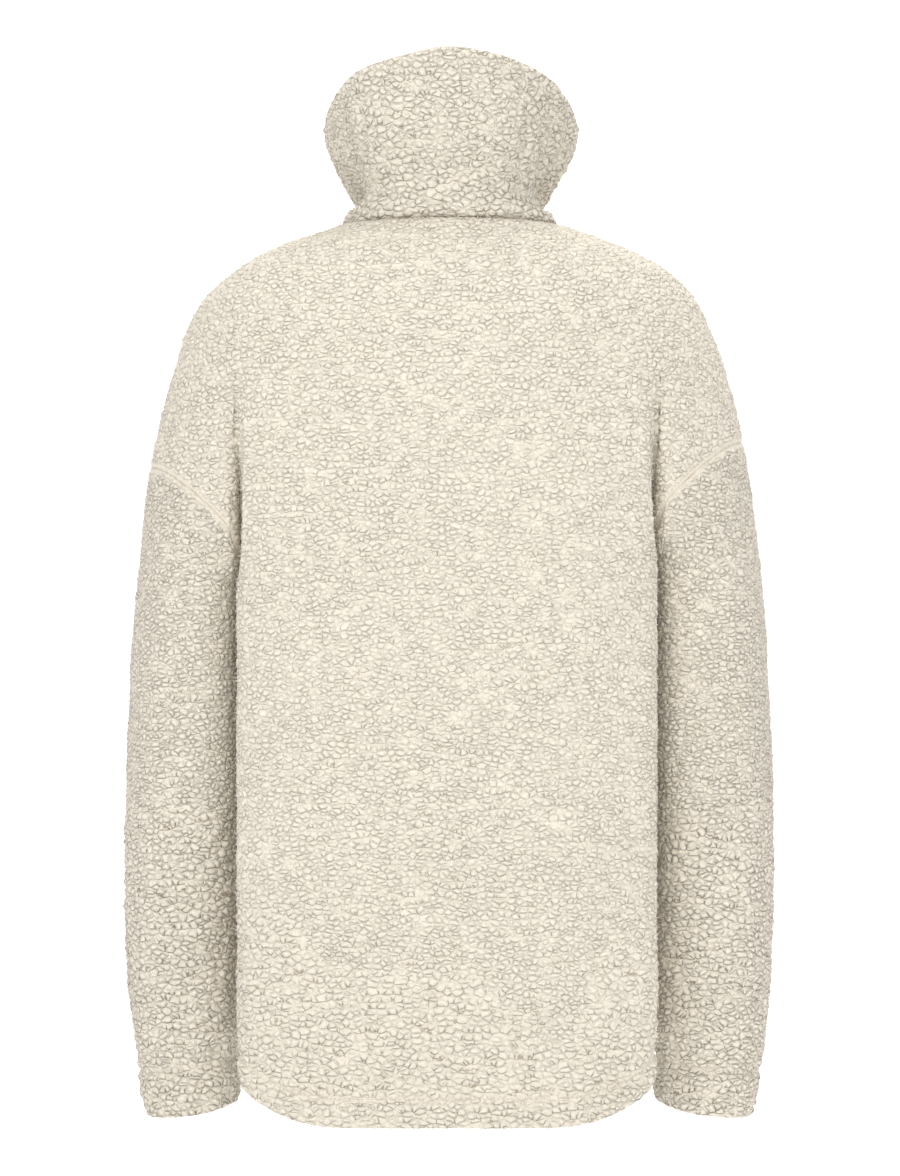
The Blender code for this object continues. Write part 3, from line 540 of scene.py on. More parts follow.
def front_edge_x(z):
    """Half of the distance between the two front edges, wider where the zip is open."""
    open_share = (z - ZIP_PARTS_Z) / (NECK_SIDE_Z - NECK_FRONT_DROP - ZIP_PARTS_Z)
    return ZIP_HALF_GAP + (ZIP_PARTED_EDGE - ZIP_HALF_GAP) * np.clip(open_share, 0.0, 1.0)


# Fine grids: columns and rows about a thread apart, in counts that the coarser inner side divides
BODY_STEPS = 108
SLEEVE_STEPS = 80
YOKE_STEPS = 32
ARMPIT_STEPS = 84
SKIRT_STEPS = 176
ARM_STEPS = 208
FRONT_EDGE_SPAN = 0.15


def body_fine_columns():
    """Columns evenly spaced along the body's section, from the centre line to the side seam."""
    shares = np.linspace(0.0, 1.0, BODY_STEPS + 1)
    inner = shares / LIP_SHARE
    outer = 1.0 + (shares - LIP_SHARE) / (1.0 - LIP_SHARE)
    return np.where(shares <= LIP_SHARE, inner, outer)


def sleeve_fine_columns():
    """Columns evenly spaced round the sleeve, from its inner side to the outline."""
    angles = np.linspace(0.0, 180.0, SLEEVE_STEPS + 1)
    inner = 2.0 + angles / SLEEVE_LIP_DEG
    outer = 3.0 + (angles - SLEEVE_LIP_DEG) / (180.0 - SLEEVE_LIP_DEG)
    return np.where(angles <= SLEEVE_LIP_DEG, inner, outer)


def yoke_fine_shares(side):
    """Shares of the way from the neckline to the armpit: even, then by angle down the crease."""
    upper = NECK_SIDE_Z + (CREASE_TOP_Z - NECK_SIDE_Z) * np.linspace(0.0, 1.0, YOKE_STEPS + 1)
    turn = np.radians(np.linspace(0.0, 90.0, ARMPIT_STEPS + 1))[1:]
    lower = CREASE_TOP_Z - (CREASE_TOP_Z - ARMPIT_Z[side]) * np.sin(turn)
    levels = np.concatenate([upper, lower])
    return (levels[0] - levels) / (levels[0] - ARMPIT_Z[side])


def quarter_grid(side, face):
    """A quarter of the upper part as rows of points from the centre line out, where both sides' rows meet."""
    body = body_fine_columns()
    arm = sleeve_fine_columns()[1:]
    shares = yoke_fine_shares(side)
    away = smooth(body)
    level = ARMPIT_Z[-side] * (1.0 - away) / 2.0 + ARMPIT_Z[side] * (1.0 + away) / 2.0
    falls = yoke_fine_shares(-side)[:, None] * (1.0 - away) / 2.0 + shares[:, None] * (1.0 + away) / 2.0
    top = neck_z(side, face, body)
    yoke = top + (level - top) * falls
    edge = hem_z(face, body)
    falling = np.linspace(0.0, 1.0, SKIRT_STEPS + 1)[1:]
    skirt = level + (edge - level) * falling[:, None]
    heights = np.concatenate([yoke, skirt])
    columns = np.broadcast_to(body, heights.shape)
    points = shell_points(side, face, columns, heights, False)
    if face == FRONT:
        near = columns < FRONT_EDGE_SPAN
        share = columns / FRONT_EDGE_SPAN
        outer = body[np.searchsorted(body, FRONT_EDGE_SPAN)]
        reach = shell_points(side, face, np.full_like(heights, outer), heights, False)[..., 0]
        place = side * front_edge_x(heights)
        points[..., 0] = np.where(near, place + (reach - place) * share, points[..., 0])
    top = neck_z(side, face, arm)
    bottom = armhole_z(side, arm)
    even = smooth(sleeve_angle(arm) / 180.0 / EVEN_ROWS_FROM)
    steps = np.linspace(0.0, 1.0, len(shares))
    blended = shares[:, None] * (1.0 - even) + steps[:, None] * even
    levels = top + (bottom - top) * blended
    columns = np.broadcast_to(arm, levels.shape)
    sleeve_part = shell_points(side, face, columns, levels, True)
    blank = np.full((SKIRT_STEPS, len(arm), 3), np.nan)
    sleeve_part = np.concatenate([sleeve_part, blank])
    return np.concatenate([points, sleeve_part], axis=1)


def sleeve_grid(side):
    """A whole sleeve as rows of points round it, from the armhole seam to the cuff's edge."""
    first, second = (FRONT, BACK) if side == LEFT else (BACK, FRONT)
    columns = sleeve_fine_columns()
    halves = []
    for face, names in ((first, columns), (second, columns[-2:0:-1])):
        share = (1.0 + np.cos(np.radians(sleeve_angle(names)))) / 2.0
        top = armhole_z(side, names)
        edge = CUFF_Z + CUFF_INNER_RISE * share * share
        heights = top + (edge - top) * np.linspace(0.0, 1.0, ARM_STEPS + 1)[:, None]
        halves.append(shell_points(side, face, np.broadcast_to(names, heights.shape), heights, True))
    return np.concatenate(halves, axis=1)


def resampled(points, count):
    """The same path with a given number of evenly spaced points."""
    shares = path_shares(points)
    even = np.linspace(0.0, 1.0, count)
    return np.stack([np.interp(even, shares, points[:, axis]) for axis in range(3)], axis=-1)


COLLAR_HALF_STEPS = 136
COLLAR_HIGH_STEPS = 68


def collar_half(side, seams):
    """Half of the collar, as columns from the centre back to its front edge, each from rim to neck seam."""
    back_steps = int(round(COLLAR_HALF_STEPS * COLLAR_SHARE_AT_SIDE))
    back = resampled(seams[side, BACK], back_steps + 1)
    front = resampled(seams[side, FRONT], COLLAR_HALF_STEPS - back_steps + 1)[::-1]
    back_shares = np.linspace(0.0, COLLAR_SHARE_AT_SIDE, len(back))
    front_shares = np.linspace(COLLAR_SHARE_AT_SIDE, 1.0, len(front))
    feet = np.concatenate([back, front[1:]])
    shares = np.concatenate([back_shares, front_shares[1:]])
    x_column = 0 if side == LEFT else 1
    rim = np.array([(row[x_column], row[2], row[3]) for row in COLLAR_RIM])
    rim_shares = path_shares(rim)
    curves = [Profile(rim_shares, rim[:, axis]) for axis in range(3)]
    for curve in curves[1:]:
        curve.slopes[0] = 0.0
    tips = np.stack([curve(shares) for curve in curves], axis=-1)
    tips[:, 0] *= side
    out = (feet + tips) / 2.0
    out[:, 2] = 0.0
    out = unit(out)
    high = np.linspace(1.0, 0.0, COLLAR_HIGH_STEPS + 1)[:, None]
    sunk = WAIST_SUNK(high) * WAIST_WEIGHT(shares)
    roll = bump(shares - COLLAR_ROLL_PLACE, COLLAR_ROLL_WIDE)
    sunk = sunk + COLLAR_ROLL_DEEP * roll * np.sin(math.pi * high) ** 2
    for crease_side, place, level, half_wide, half_high, depth in COLLAR_CREASES:
        if crease_side == side:
            sunk = sunk + depth * bump(shares - place, half_wide) * bump(high - level, half_high)
    high = high[..., None]
    return feet * (1.0 - high) + tips * high - out * sunk[..., None]


def grid_normals(points, ring=False):
    """Outward normals of a grid with rows running down and columns running rightwards, seen from outside."""
    if ring:
        across = np.roll(points, -1, axis=1) - np.roll(points, 1, axis=1)
    else:
        across = np.gradient(points, axis=1)
    down = np.gradient(points, axis=0)
    return unit(np.cross(down, across))


def panel_normals(points, cloth):
    """Normals of a panel whose lower rows are narrower than its upper rows."""
    normals = grid_normals(np.where(cloth[..., None], points, 0.0))
    width = points.shape[1]
    first = int(np.argmax(cloth[-1]))
    last = width - int(np.argmax(cloth[-1][::-1]))
    split = YOKE_STEPS + ARMPIT_STEPS + 1
    normals[:split] = grid_normals(points[:split])
    normals[split - 1 :, first:last] = grid_normals(points[split - 1 :, first:last])
    return normals


# Large odd numbers that stir a cell's place into an even spread
CELL_FACTORS = (73856093, 19349663, 83492791)
SEED_FACTOR = 2654435761
STIR_FACTOR = 1274126177
STIR_STEP = 362437


def hashed(cells, seed):
    """An even spread of numbers from 0 to 1, three for each cell."""
    x, y, z = (cells[..., axis] * CELL_FACTORS[axis] for axis in range(3))
    mixed = x ^ y ^ z ^ seed * SEED_FACTOR
    out = []
    for turn in range(3):
        mixed = (mixed ^ (mixed >> 13)) * STIR_FACTOR + turn * STIR_STEP
        mixed = mixed & 0x7FFFFFFF
        out.append((mixed >> 7 & 0xFFFF) / 65535.0)
    return np.stack(out, axis=-1)


def tuft_field(points, size, seed):
    """Rounded lumps about a size apart: 1 on a lump's top, 0 in the cracks between lumps."""
    scaled = points / size
    base = np.floor(scaled).astype(np.int64)
    nearest = np.full(len(points), 9.0)
    second = np.full(len(points), 9.0)
    for dx in (-1, 0, 1):
        for dy in (-1, 0, 1):
            for dz in (-1, 0, 1):
                cell = base + np.array((dx, dy, dz))
                distance = np.linalg.norm(cell + hashed(cell, seed) - scaled, axis=-1)
                second = np.minimum(second, np.maximum(distance, nearest))
                nearest = np.minimum(nearest, distance)
    return np.clip((second - nearest) * 1.6, 0.0, 1.0)


def soft_field(points, size, seed):
    """Slow even noise between -1 and 1."""
    scaled = points / size
    base = np.floor(scaled).astype(np.int64)
    part = smooth(scaled - base)
    total = np.zeros(len(points))
    for dx in (0, 1):
        for dy in (0, 1):
            for dz in (0, 1):
                corner = np.array((dx, dy, dz))
                weight = np.prod(np.where(corner == 1, part, 1.0 - part), axis=-1)
                total += weight * hashed(base + corner, seed)[..., 0]
    return total * 2.0 - 1.0


def distance_to(points, line):
    """Each point's distance from the nearest of a line's points."""
    line = resampled(line, max(len(line), 200))
    found = np.empty(len(points))
    for start in range(0, len(points), 4000):
        part = points[start : start + 4000]
        gaps = np.linalg.norm(part[:, None] - line[None], axis=-1)
        found[start : start + 4000] = gaps.min(axis=1)
    return found


# Quarters of the upper part, and their seams as rows of points
QUARTERS = {(side, face): quarter_grid(side, face) for side in (LEFT, RIGHT) for face in (BACK, FRONT)}
SEAM_ROW = YOKE_STEPS + ARMPIT_STEPS
NECK_SEAMS = {key: grid[0] for key, grid in QUARTERS.items()}
NECK_LINE = np.concatenate([NECK_SEAMS[key] for key in QUARTERS])
ARMHOLES = {
    side: np.concatenate([QUARTERS[side, face][SEAM_ROW, BODY_STEPS:] for face in (BACK, FRONT)])
    for side in (LEFT, RIGHT)
}
SHOULDERS = {side: QUARTERS[side, BACK][: SEAM_ROW + 1, -1] for side in (LEFT, RIGHT)}
SIDE_SEAMS = {side: QUARTERS[side, BACK][SEAM_ROW:, BODY_STEPS] for side in (LEFT, RIGHT)}


def seam_ways(points, normals, neck, seams):
    """Normals that both pieces of a seam share: level at the neck, sideways at side and shoulder seams."""
    level = unit(points * np.array((1.0, 1.0, 0.0)))
    share = bump(neck, 7.0)[:, None]
    ways = normals * (1.0 - share) + level * share
    ways[:, 1] *= 1.0 - bump(seams, 6.0)
    return unit(ways)


def lifted(points, normals, coarse, calm):
    """The pile's surface: lumps and slow waves, stronger where the pile is coarse, none where it is calm."""
    lumps = tuft_field(points, 8.5, 3) - 0.5
    small = tuft_field(points * np.array((1.0, 1.0, 1.3)), 5.2, 11) - 0.5
    waves = soft_field(points, 21.0, 5) + 0.5 * soft_field(points, 55.0, 8)
    height = lumps * (0.9 + 1.1 * coarse) + small * (0.5 + 0.5 * coarse) + waves * (0.45 + 0.35 * coarse)
    return points + normals * (height * calm)[:, None]


def roll_edge(points, normals, outward, thickness, width):
    """Rows that carry the outer face round a free edge to the inner side."""
    rows = []
    centre = points - normals * thickness / 2.0
    for step in range(1, ROLL_ROWS + 1):
        turn = math.radians(ROLL_TURN_DEG * step / ROLL_ROWS)
        rows.append(centre + normals * thickness / 2.0 * math.cos(turn) + outward * width * math.sin(turn))
    return np.stack(rows)


def boundary_loops(faces):
    """The open edges of a set of faces, joined end to end in the faces' own direction."""
    edges = np.concatenate([faces[:, [i, (i + 1) % 4]] for i in range(4)])
    keys = {(int(a), int(b)) for a, b in edges}
    after = {a: b for a, b in keys if (b, a) not in keys}
    loops = []
    while after:
        start, ahead = next(iter(after.items()))
        loop = [start]
        del after[start]
        while ahead != start:
            loop.append(ahead)
            ahead = after.pop(ahead)
        loops.append(loop)
    return loops


def grid_faces(cloth, ring):
    """The quads of a grid where all four corners are cloth, as places in the flattened grid."""
    rows, columns = cloth.shape
    index = np.arange(rows * columns).reshape(rows, columns)
    right = np.roll(index, -1, axis=1)
    right_cloth = np.roll(cloth, -1, axis=1)
    whole = cloth[:-1] & cloth[1:] & right_cloth[:-1] & right_cloth[1:]
    if not ring:
        whole[:, -1] = False
    quads = np.stack([index[:-1], index[1:], right[1:], right[:-1]], axis=-1)
    return quads[whole]


def mesh_piece(name, points, faces):
    """A plain mesh piece from points in millimetres."""
    mesh = bpy.data.meshes.new(name)
    mesh.from_pydata((np.asarray(points) * MM).tolist(), [], [list(face) for face in faces])
    mesh.shade_smooth()
    made = bpy.data.objects.new(name, mesh)
    bpy.context.scene.collection.objects.link(made)
    return made


def closed_cloth(name, outer, inner, cloth, ring, step, roll_at_end=True):
    """A closed wall: a fine outer grid and every few points of an inner one, joined along the open edges."""
    rows, columns = cloth.shape
    edge_row = rows - 1 - ROLL_ROWS if roll_at_end else ROLL_ROWS
    outer_faces = grid_faces(cloth, ring)
    body = slice(0, edge_row + 1) if roll_at_end else slice(edge_row, rows)
    inner_cloth = cloth[body][::step, ::step]
    inner_points = inner[body][::step, ::step]
    inner_columns = inner_cloth.shape[1]
    inner_faces = grid_faces(inner_cloth, ring)
    count = rows * columns

    def inner_place(place):
        row, column = divmod(place, columns)
        row = min(row, edge_row) if roll_at_end else max(row - edge_row, 0)
        return count + (row // step) * inner_columns + column // step

    joining = []
    for loop in boundary_loops(outer_faces):
        for a, b in zip(loop, loop[1:] + loop[:1]):
            inner_a, inner_b = inner_place(a), inner_place(b)
            joining.append((b, a, inner_a))
            if inner_a != inner_b:
                joining.append((b, inner_a, inner_b))
    points = np.concatenate([outer.reshape(-1, 3), inner_points.reshape(-1, 3)])
    used = np.zeros(len(points), bool)
    used[outer_faces.ravel()] = True
    used[(inner_faces + count).ravel()] = True
    renumbered = np.cumsum(used) - 1
    faces = renumbered[outer_faces].tolist()
    faces += renumbered[inner_faces[:, ::-1] + count].tolist()
    faces += renumbered[np.array(joining)].tolist()
    return mesh_piece(name, points[used], faces), used[:count]


def add_value(made, name, values):
    """Stores one number for each vertex, for the material to read."""
    full = np.zeros(len(made.data.vertices), np.float32)
    full[: len(values)] = values
    made.data.attributes.new(name, "FLOAT", "POINT").data.foreach_set("value", full)


def coarseness(points):
    """How coarse the pile looks, least on the yoke and most at the bottom of the sleeves."""
    low = smooth((-330.0 - points[:, 2]) / 330.0)
    sleeve = smooth((np.abs(points[:, 0]) - 150.0) / 40.0)
    patchy = 0.22 * soft_field(points, 70.0, 21)
    return np.clip(0.15 + 0.25 * low + 0.55 * low * sleeve + patchy, 0.0, 1.0)


def shape_panel(name, grid):
    """The back or a front, with its seams drawn in and its hem turned up."""
    cloth = ~np.isnan(grid[..., 0])
    normals = panel_normals(grid, cloth)
    flat = grid[cloth]
    flat_normals = normals[cloth]
    armhole = np.minimum(*(distance_to(flat, ARMHOLES[side]) for side in (LEFT, RIGHT)))
    neck = distance_to(flat, NECK_LINE)
    plain = [*SHOULDERS.values(), *SIDE_SEAMS.values()]
    seams = np.min([distance_to(flat, line) for line in plain], axis=0)
    flat_normals = seam_ways(flat, flat_normals, neck, seams)
    rows, columns = cloth.shape
    skirt = np.zeros(cloth.shape, bool)
    skirt[SEAM_ROW:] = cloth[SEAM_ROW:]
    lengths = np.zeros(cloth.shape)
    steps = np.linalg.norm(np.diff(np.nan_to_num(grid[::-1]), axis=0), axis=-1)
    lengths[1:] = np.cumsum(steps, axis=0)
    from_edge = np.where(skirt, lengths[::-1], FAR)[cloth]
    from_band = from_edge - HEM_BAND
    sink = -dip(armhole, ARMHOLE_DIP) - dip(neck, NECK_DIP) - dip(seams, SEAM_DIP) - dip(from_band, HEM_DIP)
    sink += dip(from_edge - HEM_MIDDLE, HEM_SWELL) - dip(from_band - ABOVE_HEM, ABOVE_HEM_DIP)
    sink += soft_field(flat * np.array((1.0, 1.0, 0.2)), 13.0, 31) * dip(from_band, HEM_PUCKER)
    press = bump(armhole - 1.6, 2.9) + 0.8 * bump(from_band, 2.2) + 0.5 * bump(seams, 1.6)
    press = np.clip(press, 0.0, 1.0)
    nearest_seam = np.minimum(np.minimum(armhole, neck), seams)
    calm = (1.0 - PRESSED_CALM * press) * smooth(nearest_seam / CALM_RUN + 0.1)
    coarse = coarseness(flat) + 0.35 * bump(neck, 12.0) + 0.25 * bump(from_edge - 10.0, 9.0)
    coarse += 0.30 * smooth((-420.0 - flat[:, 2]) / 260.0)
    coarse = np.clip(coarse, 0.0, 1.0)
    shaped = lifted(flat + flat_normals * sink[:, None], flat_normals, coarse, calm)
    outer = np.full(grid.shape, 0.0)
    outer[cloth] = shaped
    base = np.where(cloth[..., None], grid, 0.0)
    inner = base - normals * WALL
    first = int(np.argmax(cloth[-1]))
    last = columns - int(np.argmax(cloth[-1][::-1]))
    edge = outer[-1].copy()
    down = unit(base[-1] - base[-2])
    rolled = roll_edge(edge, normals[-1], down, WALL, HEM_ROLL)
    inner[-1] = edge - normals[-1] * WALL
    outer = np.concatenate([outer, rolled])
    roll_cloth = np.zeros((ROLL_ROWS, columns), bool)
    roll_cloth[:, first:last] = True
    whole = np.concatenate([cloth, roll_cloth])
    inner = np.concatenate([inner, rolled])
    made, used = closed_cloth(name, outer, inner, whole, False, INNER_STEP)
    # Painted shade: the material darkens the colour by this value in the grooves of the neck, shoulder, side
    # and armhole seams.
    seam = np.clip(bump(neck, 3.0) + 0.5 * bump(seams, 1.6) + 0.8 * bump(armhole, 1.3), 0.0, 1.0)
    for attribute, numbers in (("coarse", coarse), ("press", press), ("seam", seam), ("pile", calm)):
        values = np.zeros(whole.shape)
        values[:rows][cloth] = numbers
        if attribute == "coarse":
            values[rows:] = values[rows - 1]
        if attribute == "pile":
            values[rows:] = EDGE_PILE
        add_value(made, attribute, values.ravel()[used])
    return made


def shape_sleeve(name, side):
    """A sleeve, drawn in at its armhole seam and gathered above its turned-up cuff."""
    grid = sleeve_grid(side)
    normals = grid_normals(grid, ring=True)
    rows, columns = grid.shape[:2]
    flat = grid.reshape(-1, 3)
    flat_normals = normals.reshape(-1, 3)
    armhole = distance_to(flat, ARMHOLES[side])
    lengths = np.zeros((rows, columns))
    steps = np.linalg.norm(np.diff(grid[::-1], axis=0), axis=-1)
    lengths[1:] = np.cumsum(steps, axis=0)
    from_edge = lengths[::-1].ravel()
    from_band = from_edge - CUFF_BAND
    sink = -dip(armhole, ARMHOLE_DIP) - dip(from_band, CUFF_DIP) - dip(from_band - ABOVE_CUFF, ABOVE_CUFF_DIP)
    sink += dip(from_edge - CUFF_MIDDLE, CUFF_SWELL)
    stretched = flat * np.array((1.0, 1.0, 0.16))
    gathers = soft_field(stretched, 11.0, 41 + side) + 0.7 * soft_field(stretched, 7.0, 51 + side)
    sink += gathers * (dip(from_band - 10.0, CUFF_GATHERS) + dip(from_edge - 16.0, CUFF_EDGE_GATHERS))
    press = np.clip(bump(armhole - 1.2, 2.4) + 0.7 * bump(from_band, 2.0), 0.0, 1.0)
    calm = (1.0 - PRESSED_CALM * press) * smooth(armhole / CALM_RUN + 0.1)
    coarse = coarseness(flat) + 0.25 * bump(from_band - 6.0, 22.0)
    coarse = np.clip(coarse + 0.40 * smooth((330.0 - from_edge) / 260.0), 0.0, 1.0)
    shaped = lifted(flat + flat_normals * sink[:, None], flat_normals, coarse, calm).reshape(grid.shape)
    inner = grid - normals * WALL
    edge = shaped[-1]
    down = unit(grid[-1] - grid[-2])
    rolled = roll_edge(edge, normals[-1], down, CUFF_WALL, CUFF_ROLL)
    inner[-1] = edge - normals[-1] * CUFF_WALL
    outer = np.concatenate([shaped, rolled])
    inner = np.concatenate([inner, rolled])
    whole = np.ones(outer.shape[:2], bool)
    made, used = closed_cloth(name, outer, inner, whole, True, INNER_STEP)
    # Painted shade: the material darkens the colour by this value in the armhole seam's groove.
    seam = 0.8 * bump(armhole, 1.3)
    for attribute, numbers in (("coarse", coarse), ("press", press), ("seam", seam), ("pile", calm)):
        values = np.zeros(whole.shape)
        values[:rows] = numbers.reshape(rows, columns)
        if attribute == "coarse":
            values[rows:] = values[rows - 1]
        add_value(made, attribute, values.ravel()[used])
    return made


def shape_collar():
    """The collar, with coarse pile bulging above the neck seam and a soft rolled rim."""
    left = collar_half(LEFT, NECK_SEAMS)
    right = collar_half(RIGHT, NECK_SEAMS)
    grid = np.concatenate([left[:, ::-1], right[:, 1:]], axis=1)
    normals = grid_normals(grid)
    rows, columns = grid.shape[:2]
    flat = grid.reshape(-1, 3)
    flat_normals = normals.reshape(-1, 3)
    neck = distance_to(flat, NECK_LINE)
    flat_normals = seam_ways(flat, flat_normals, neck, np.full(len(flat), 90.0))
    sink = -dip(neck, NECK_DIP) + dip(neck - COLLAR_SWELL_PLACE, COLLAR_SWELL)
    coarse = 0.45 + 0.3 * soft_field(flat, 30.0, 61) + 0.5 * bump(neck - COLLAR_SWELL_PLACE, 10.0)
    # The collar's right side, from 50 mm out, is coarser. This is partly real coarse pile and partly painted
    # shade: its deeper crack darkening stands for the shade where the collar turns to the front.
    coarse = np.clip(np.clip(coarse, 0.0, 1.0) + 0.45 * smooth((flat[:, 0] - 50.0) / 25.0), 0.0, 1.0)
    calm = smooth(neck / CALM_RUN + 0.1)
    shaped = lifted(flat + flat_normals * sink[:, None], flat_normals, coarse, calm).reshape(grid.shape)
    thick = np.full(rows, COLLAR_WALL)
    thick[-3:] = WALL
    inner_base = grid - normals * thick[:, None, None]
    flat_inner = inner_base.reshape(-1, 3)
    inner_calm = smooth(distance_to(flat_inner, NECK_LINE) / 14.0)
    inner = lifted(flat_inner, -flat_normals, 0.4 * np.ones(len(flat)), inner_calm).reshape(grid.shape)
    edge = shaped[0]
    up = unit(grid[0] - grid[1])
    rolled = roll_edge(edge, normals[0], up, RIM_WALL, RIM_ROLL)[::-1]
    inner[0] = edge - normals[0] * RIM_WALL
    outer = np.concatenate([rolled, shaped])
    inner = np.concatenate([rolled, inner])
    whole = np.ones(outer.shape[:2], bool)
    made, _ = closed_cloth("collar_cloth", outer, inner, whole, False, 1, roll_at_end=False)
    # Painted shade: the material darkens the colour by this value in the neck seam's groove.
    seam = 0.8 * bump(neck, 2.4)
    for attribute, numbers in (("coarse", coarse), ("press", 0.0 * neck), ("seam", seam), ("pile", calm)):
        values = np.zeros(whole.shape)
        values[ROLL_ROWS:] = numbers.reshape(rows, columns)
        if attribute == "coarse":
            values[:ROLL_ROWS] = values[ROLL_ROWS]
        full = np.concatenate([values.ravel(), values[ROLL_ROWS:].ravel()])
        add_value(made, attribute, full[: len(made.data.vertices)])
    return made, grid, normals


back_grid = np.concatenate([QUARTERS[LEFT, BACK][:, ::-1], QUARTERS[RIGHT, BACK][:, 1:]], axis=1)
back = shape_panel("back_cloth", back_grid)
front_left = shape_panel("front_left_cloth", QUARTERS[LEFT, FRONT])
front_right = shape_panel("front_right_cloth", QUARTERS[RIGHT, FRONT][:, ::-1])
sleeve_left = shape_sleeve("sleeve_left_cloth", LEFT)
sleeve_right = shape_sleeve("sleeve_right_cloth", RIGHT)
collar, collar_grid, collar_normals = shape_collar()


# Zip: tape and teeth along each front edge, as far as the collar's tip
def zip_line(side):
    """A front edge from the hem up to the collar's tip: places in the middle of the wall, and ways out."""
    grid = QUARTERS[side, FRONT]
    normals = grid_normals(grid[:, :4])
    if side == LEFT:
        panel_out = normals[:, 0]
        collar_edge = 0
    else:
        panel_out = -normals[:, 0]
        collar_edge = -1
    straight_out = unit(panel_out * np.array((0.0, 1.0, 1.0)))
    panel_out = np.where(grid[:, :1, 2] < ZIP_PARTS_Z, straight_out, panel_out)
    points = np.concatenate([grid[::-1, 0], collar_grid[-2::-1, collar_edge]])
    out = np.concatenate([panel_out[::-1], collar_normals[-2::-1, collar_edge]])
    rise = np.zeros(len(points))
    rise[len(grid) :] = smooth(np.arange(len(points) - len(grid)) / (0.3 * COLLAR_HIGH_STEPS))
    depth = WALL / 2.0 + (COLLAR_WALL - WALL) / 2.0 * rise
    spine = points - out * depth[:, None]
    shares = path_shares(spine)
    length = float(np.linalg.norm(np.diff(spine, axis=0), axis=1).sum())
    return spine, out, shares, length


def line_frame(spine, out, shares, places, side):
    """Points of a zip line at some shares of its length, each with its ways out and across."""
    at = np.stack([np.interp(places, shares, spine[:, axis]) for axis in range(3)], axis=-1)
    turned = np.stack([np.interp(places, shares, out[:, axis]) for axis in range(3)], axis=-1)
    up = unit(np.gradient(at, axis=0))
    across = unit(np.cross(up, turned)) * -side
    wrong = across[:, 0] * -side < 0.0
    across[wrong] *= -1.0
    return at, unit(np.cross(across, up)) * side, across


def face_outwards(made):
    """Turns a closed piece's faces outwards."""
    work = bmesh.new()
    work.from_mesh(made.data)
    bmesh.ops.recalc_face_normals(work, faces=work.faces)
    work.to_mesh(made.data)
    work.free()


def ringed_piece(name, points, rings):
    """A closed piece made of even rings of points: quads between the rings, and a cap at each end."""
    size = len(points) // rings
    faces = []
    for i in range(rings - 1):
        for k in range(size):
            after = (k + 1) % size
            faces.append((i * size + k, i * size + after, (i + 1) * size + after, (i + 1) * size + k))
    faces.append(tuple(range(size)))
    faces.append(tuple((rings - 1) * size + k for k in reversed(range(size))))
    made = mesh_piece(name, points, faces)
    face_outwards(made)
    return made


def zip_tape(name, side):
    """The woven tape, a thin strip swept along the front edge."""
    spine, out, shares, length = zip_line(side)
    ends = TAPE_END / length
    places = np.linspace(ends, 1.0 - ends, TAPE_STEPS)
    at, away, across = line_frame(spine, out, shares, places, side)
    rings = [[p + c * a + o * b for a, b in TAPE_SECTION] for p, o, c in zip(at, away, across)]
    return ringed_piece(name, np.concatenate(rings), len(rings))


def tooth_shape():
    """One tooth: a body that grips the tape and a narrower head that meets the other side's teeth."""
    points = [(x, a * high, b * deep) for x, high, deep in TOOTH_RINGS for a, b in TOOTH_CORNERS]
    return ringed_piece("tooth_shape", points, len(TOOTH_RINGS))


def stitch_shape():
    """One stitch: a short rounded length of thread that dips into the cloth at both ends."""
    points = []
    for along, radius, level in STITCH_RINGS:
        for k in range(STITCH_SIDES):
            turn = math.radians(360.0 / STITCH_SIDES * k)
            points.append((along, radius * math.cos(turn), level + radius * math.sin(turn)))
    return ringed_piece("stitch_shape", points, len(STITCH_RINGS))


def node(tree, kind, **settings):
    """A node with its properties set."""
    made = tree.nodes.new(kind)
    for name, value in settings.items():
        setattr(made, name, value)
    return made


def geometry_group(name, inputs, output):
    """A geometry node tree with named inputs and one output, and its input and output nodes."""
    tree = bpy.data.node_groups.new(name, "GeometryNodeTree")
    for label, kind in inputs:
        tree.interface.new_socket(label, in_out="INPUT", socket_type=f"NodeSocket{kind}")
    tree.interface.new_socket(output, in_out="OUTPUT", socket_type="NodeSocketGeometry")
    return tree, node(tree, "NodeGroupInput"), node(tree, "NodeGroupOutput")


def repeated_shape_tree():
    """Copies of a shape at a mesh's points: X along the points' own direction, Z out of the cloth."""
    inputs = (("Places", "Geometry"), ("Shape", "Object"), ("Size", "Float"), ("Finish", "Material"))
    tree, given, result = geometry_group("repeated_shape", inputs, "Pieces")
    shape = node(tree, "GeometryNodeObjectInfo")
    out = node(tree, "GeometryNodeInputNamedAttribute", data_type="FLOAT_VECTOR")
    out.inputs["Name"].default_value = "out"
    along = node(tree, "GeometryNodeInputNamedAttribute", data_type="FLOAT_VECTOR")
    along.inputs["Name"].default_value = "along"
    upright = node(tree, "FunctionNodeAlignRotationToVector", axis="Z")
    turned = node(tree, "FunctionNodeAlignRotationToVector", axis="X", pivot_axis="Z")
    copies = node(tree, "GeometryNodeInstanceOnPoints")
    whole = node(tree, "GeometryNodeRealizeInstances")
    finish = node(tree, "GeometryNodeSetMaterial")
    link = tree.links.new
    link(given.outputs["Shape"], shape.inputs["Object"])
    link(out.outputs["Attribute"], upright.inputs["Vector"])
    link(upright.outputs["Rotation"], turned.inputs["Rotation"])
    link(along.outputs["Attribute"], turned.inputs["Vector"])
    link(given.outputs["Places"], copies.inputs["Points"])
    link(shape.outputs["Geometry"], copies.inputs["Instance"])
    link(turned.outputs["Rotation"], copies.inputs["Rotation"])
    link(given.outputs["Size"], copies.inputs["Scale"])
    link(copies.outputs["Instances"], whole.inputs["Geometry"])
    link(whole.outputs["Geometry"], finish.inputs["Geometry"])
    link(given.outputs["Finish"], finish.inputs["Material"])
    link(finish.outputs["Geometry"], result.inputs["Pieces"])
    return tree


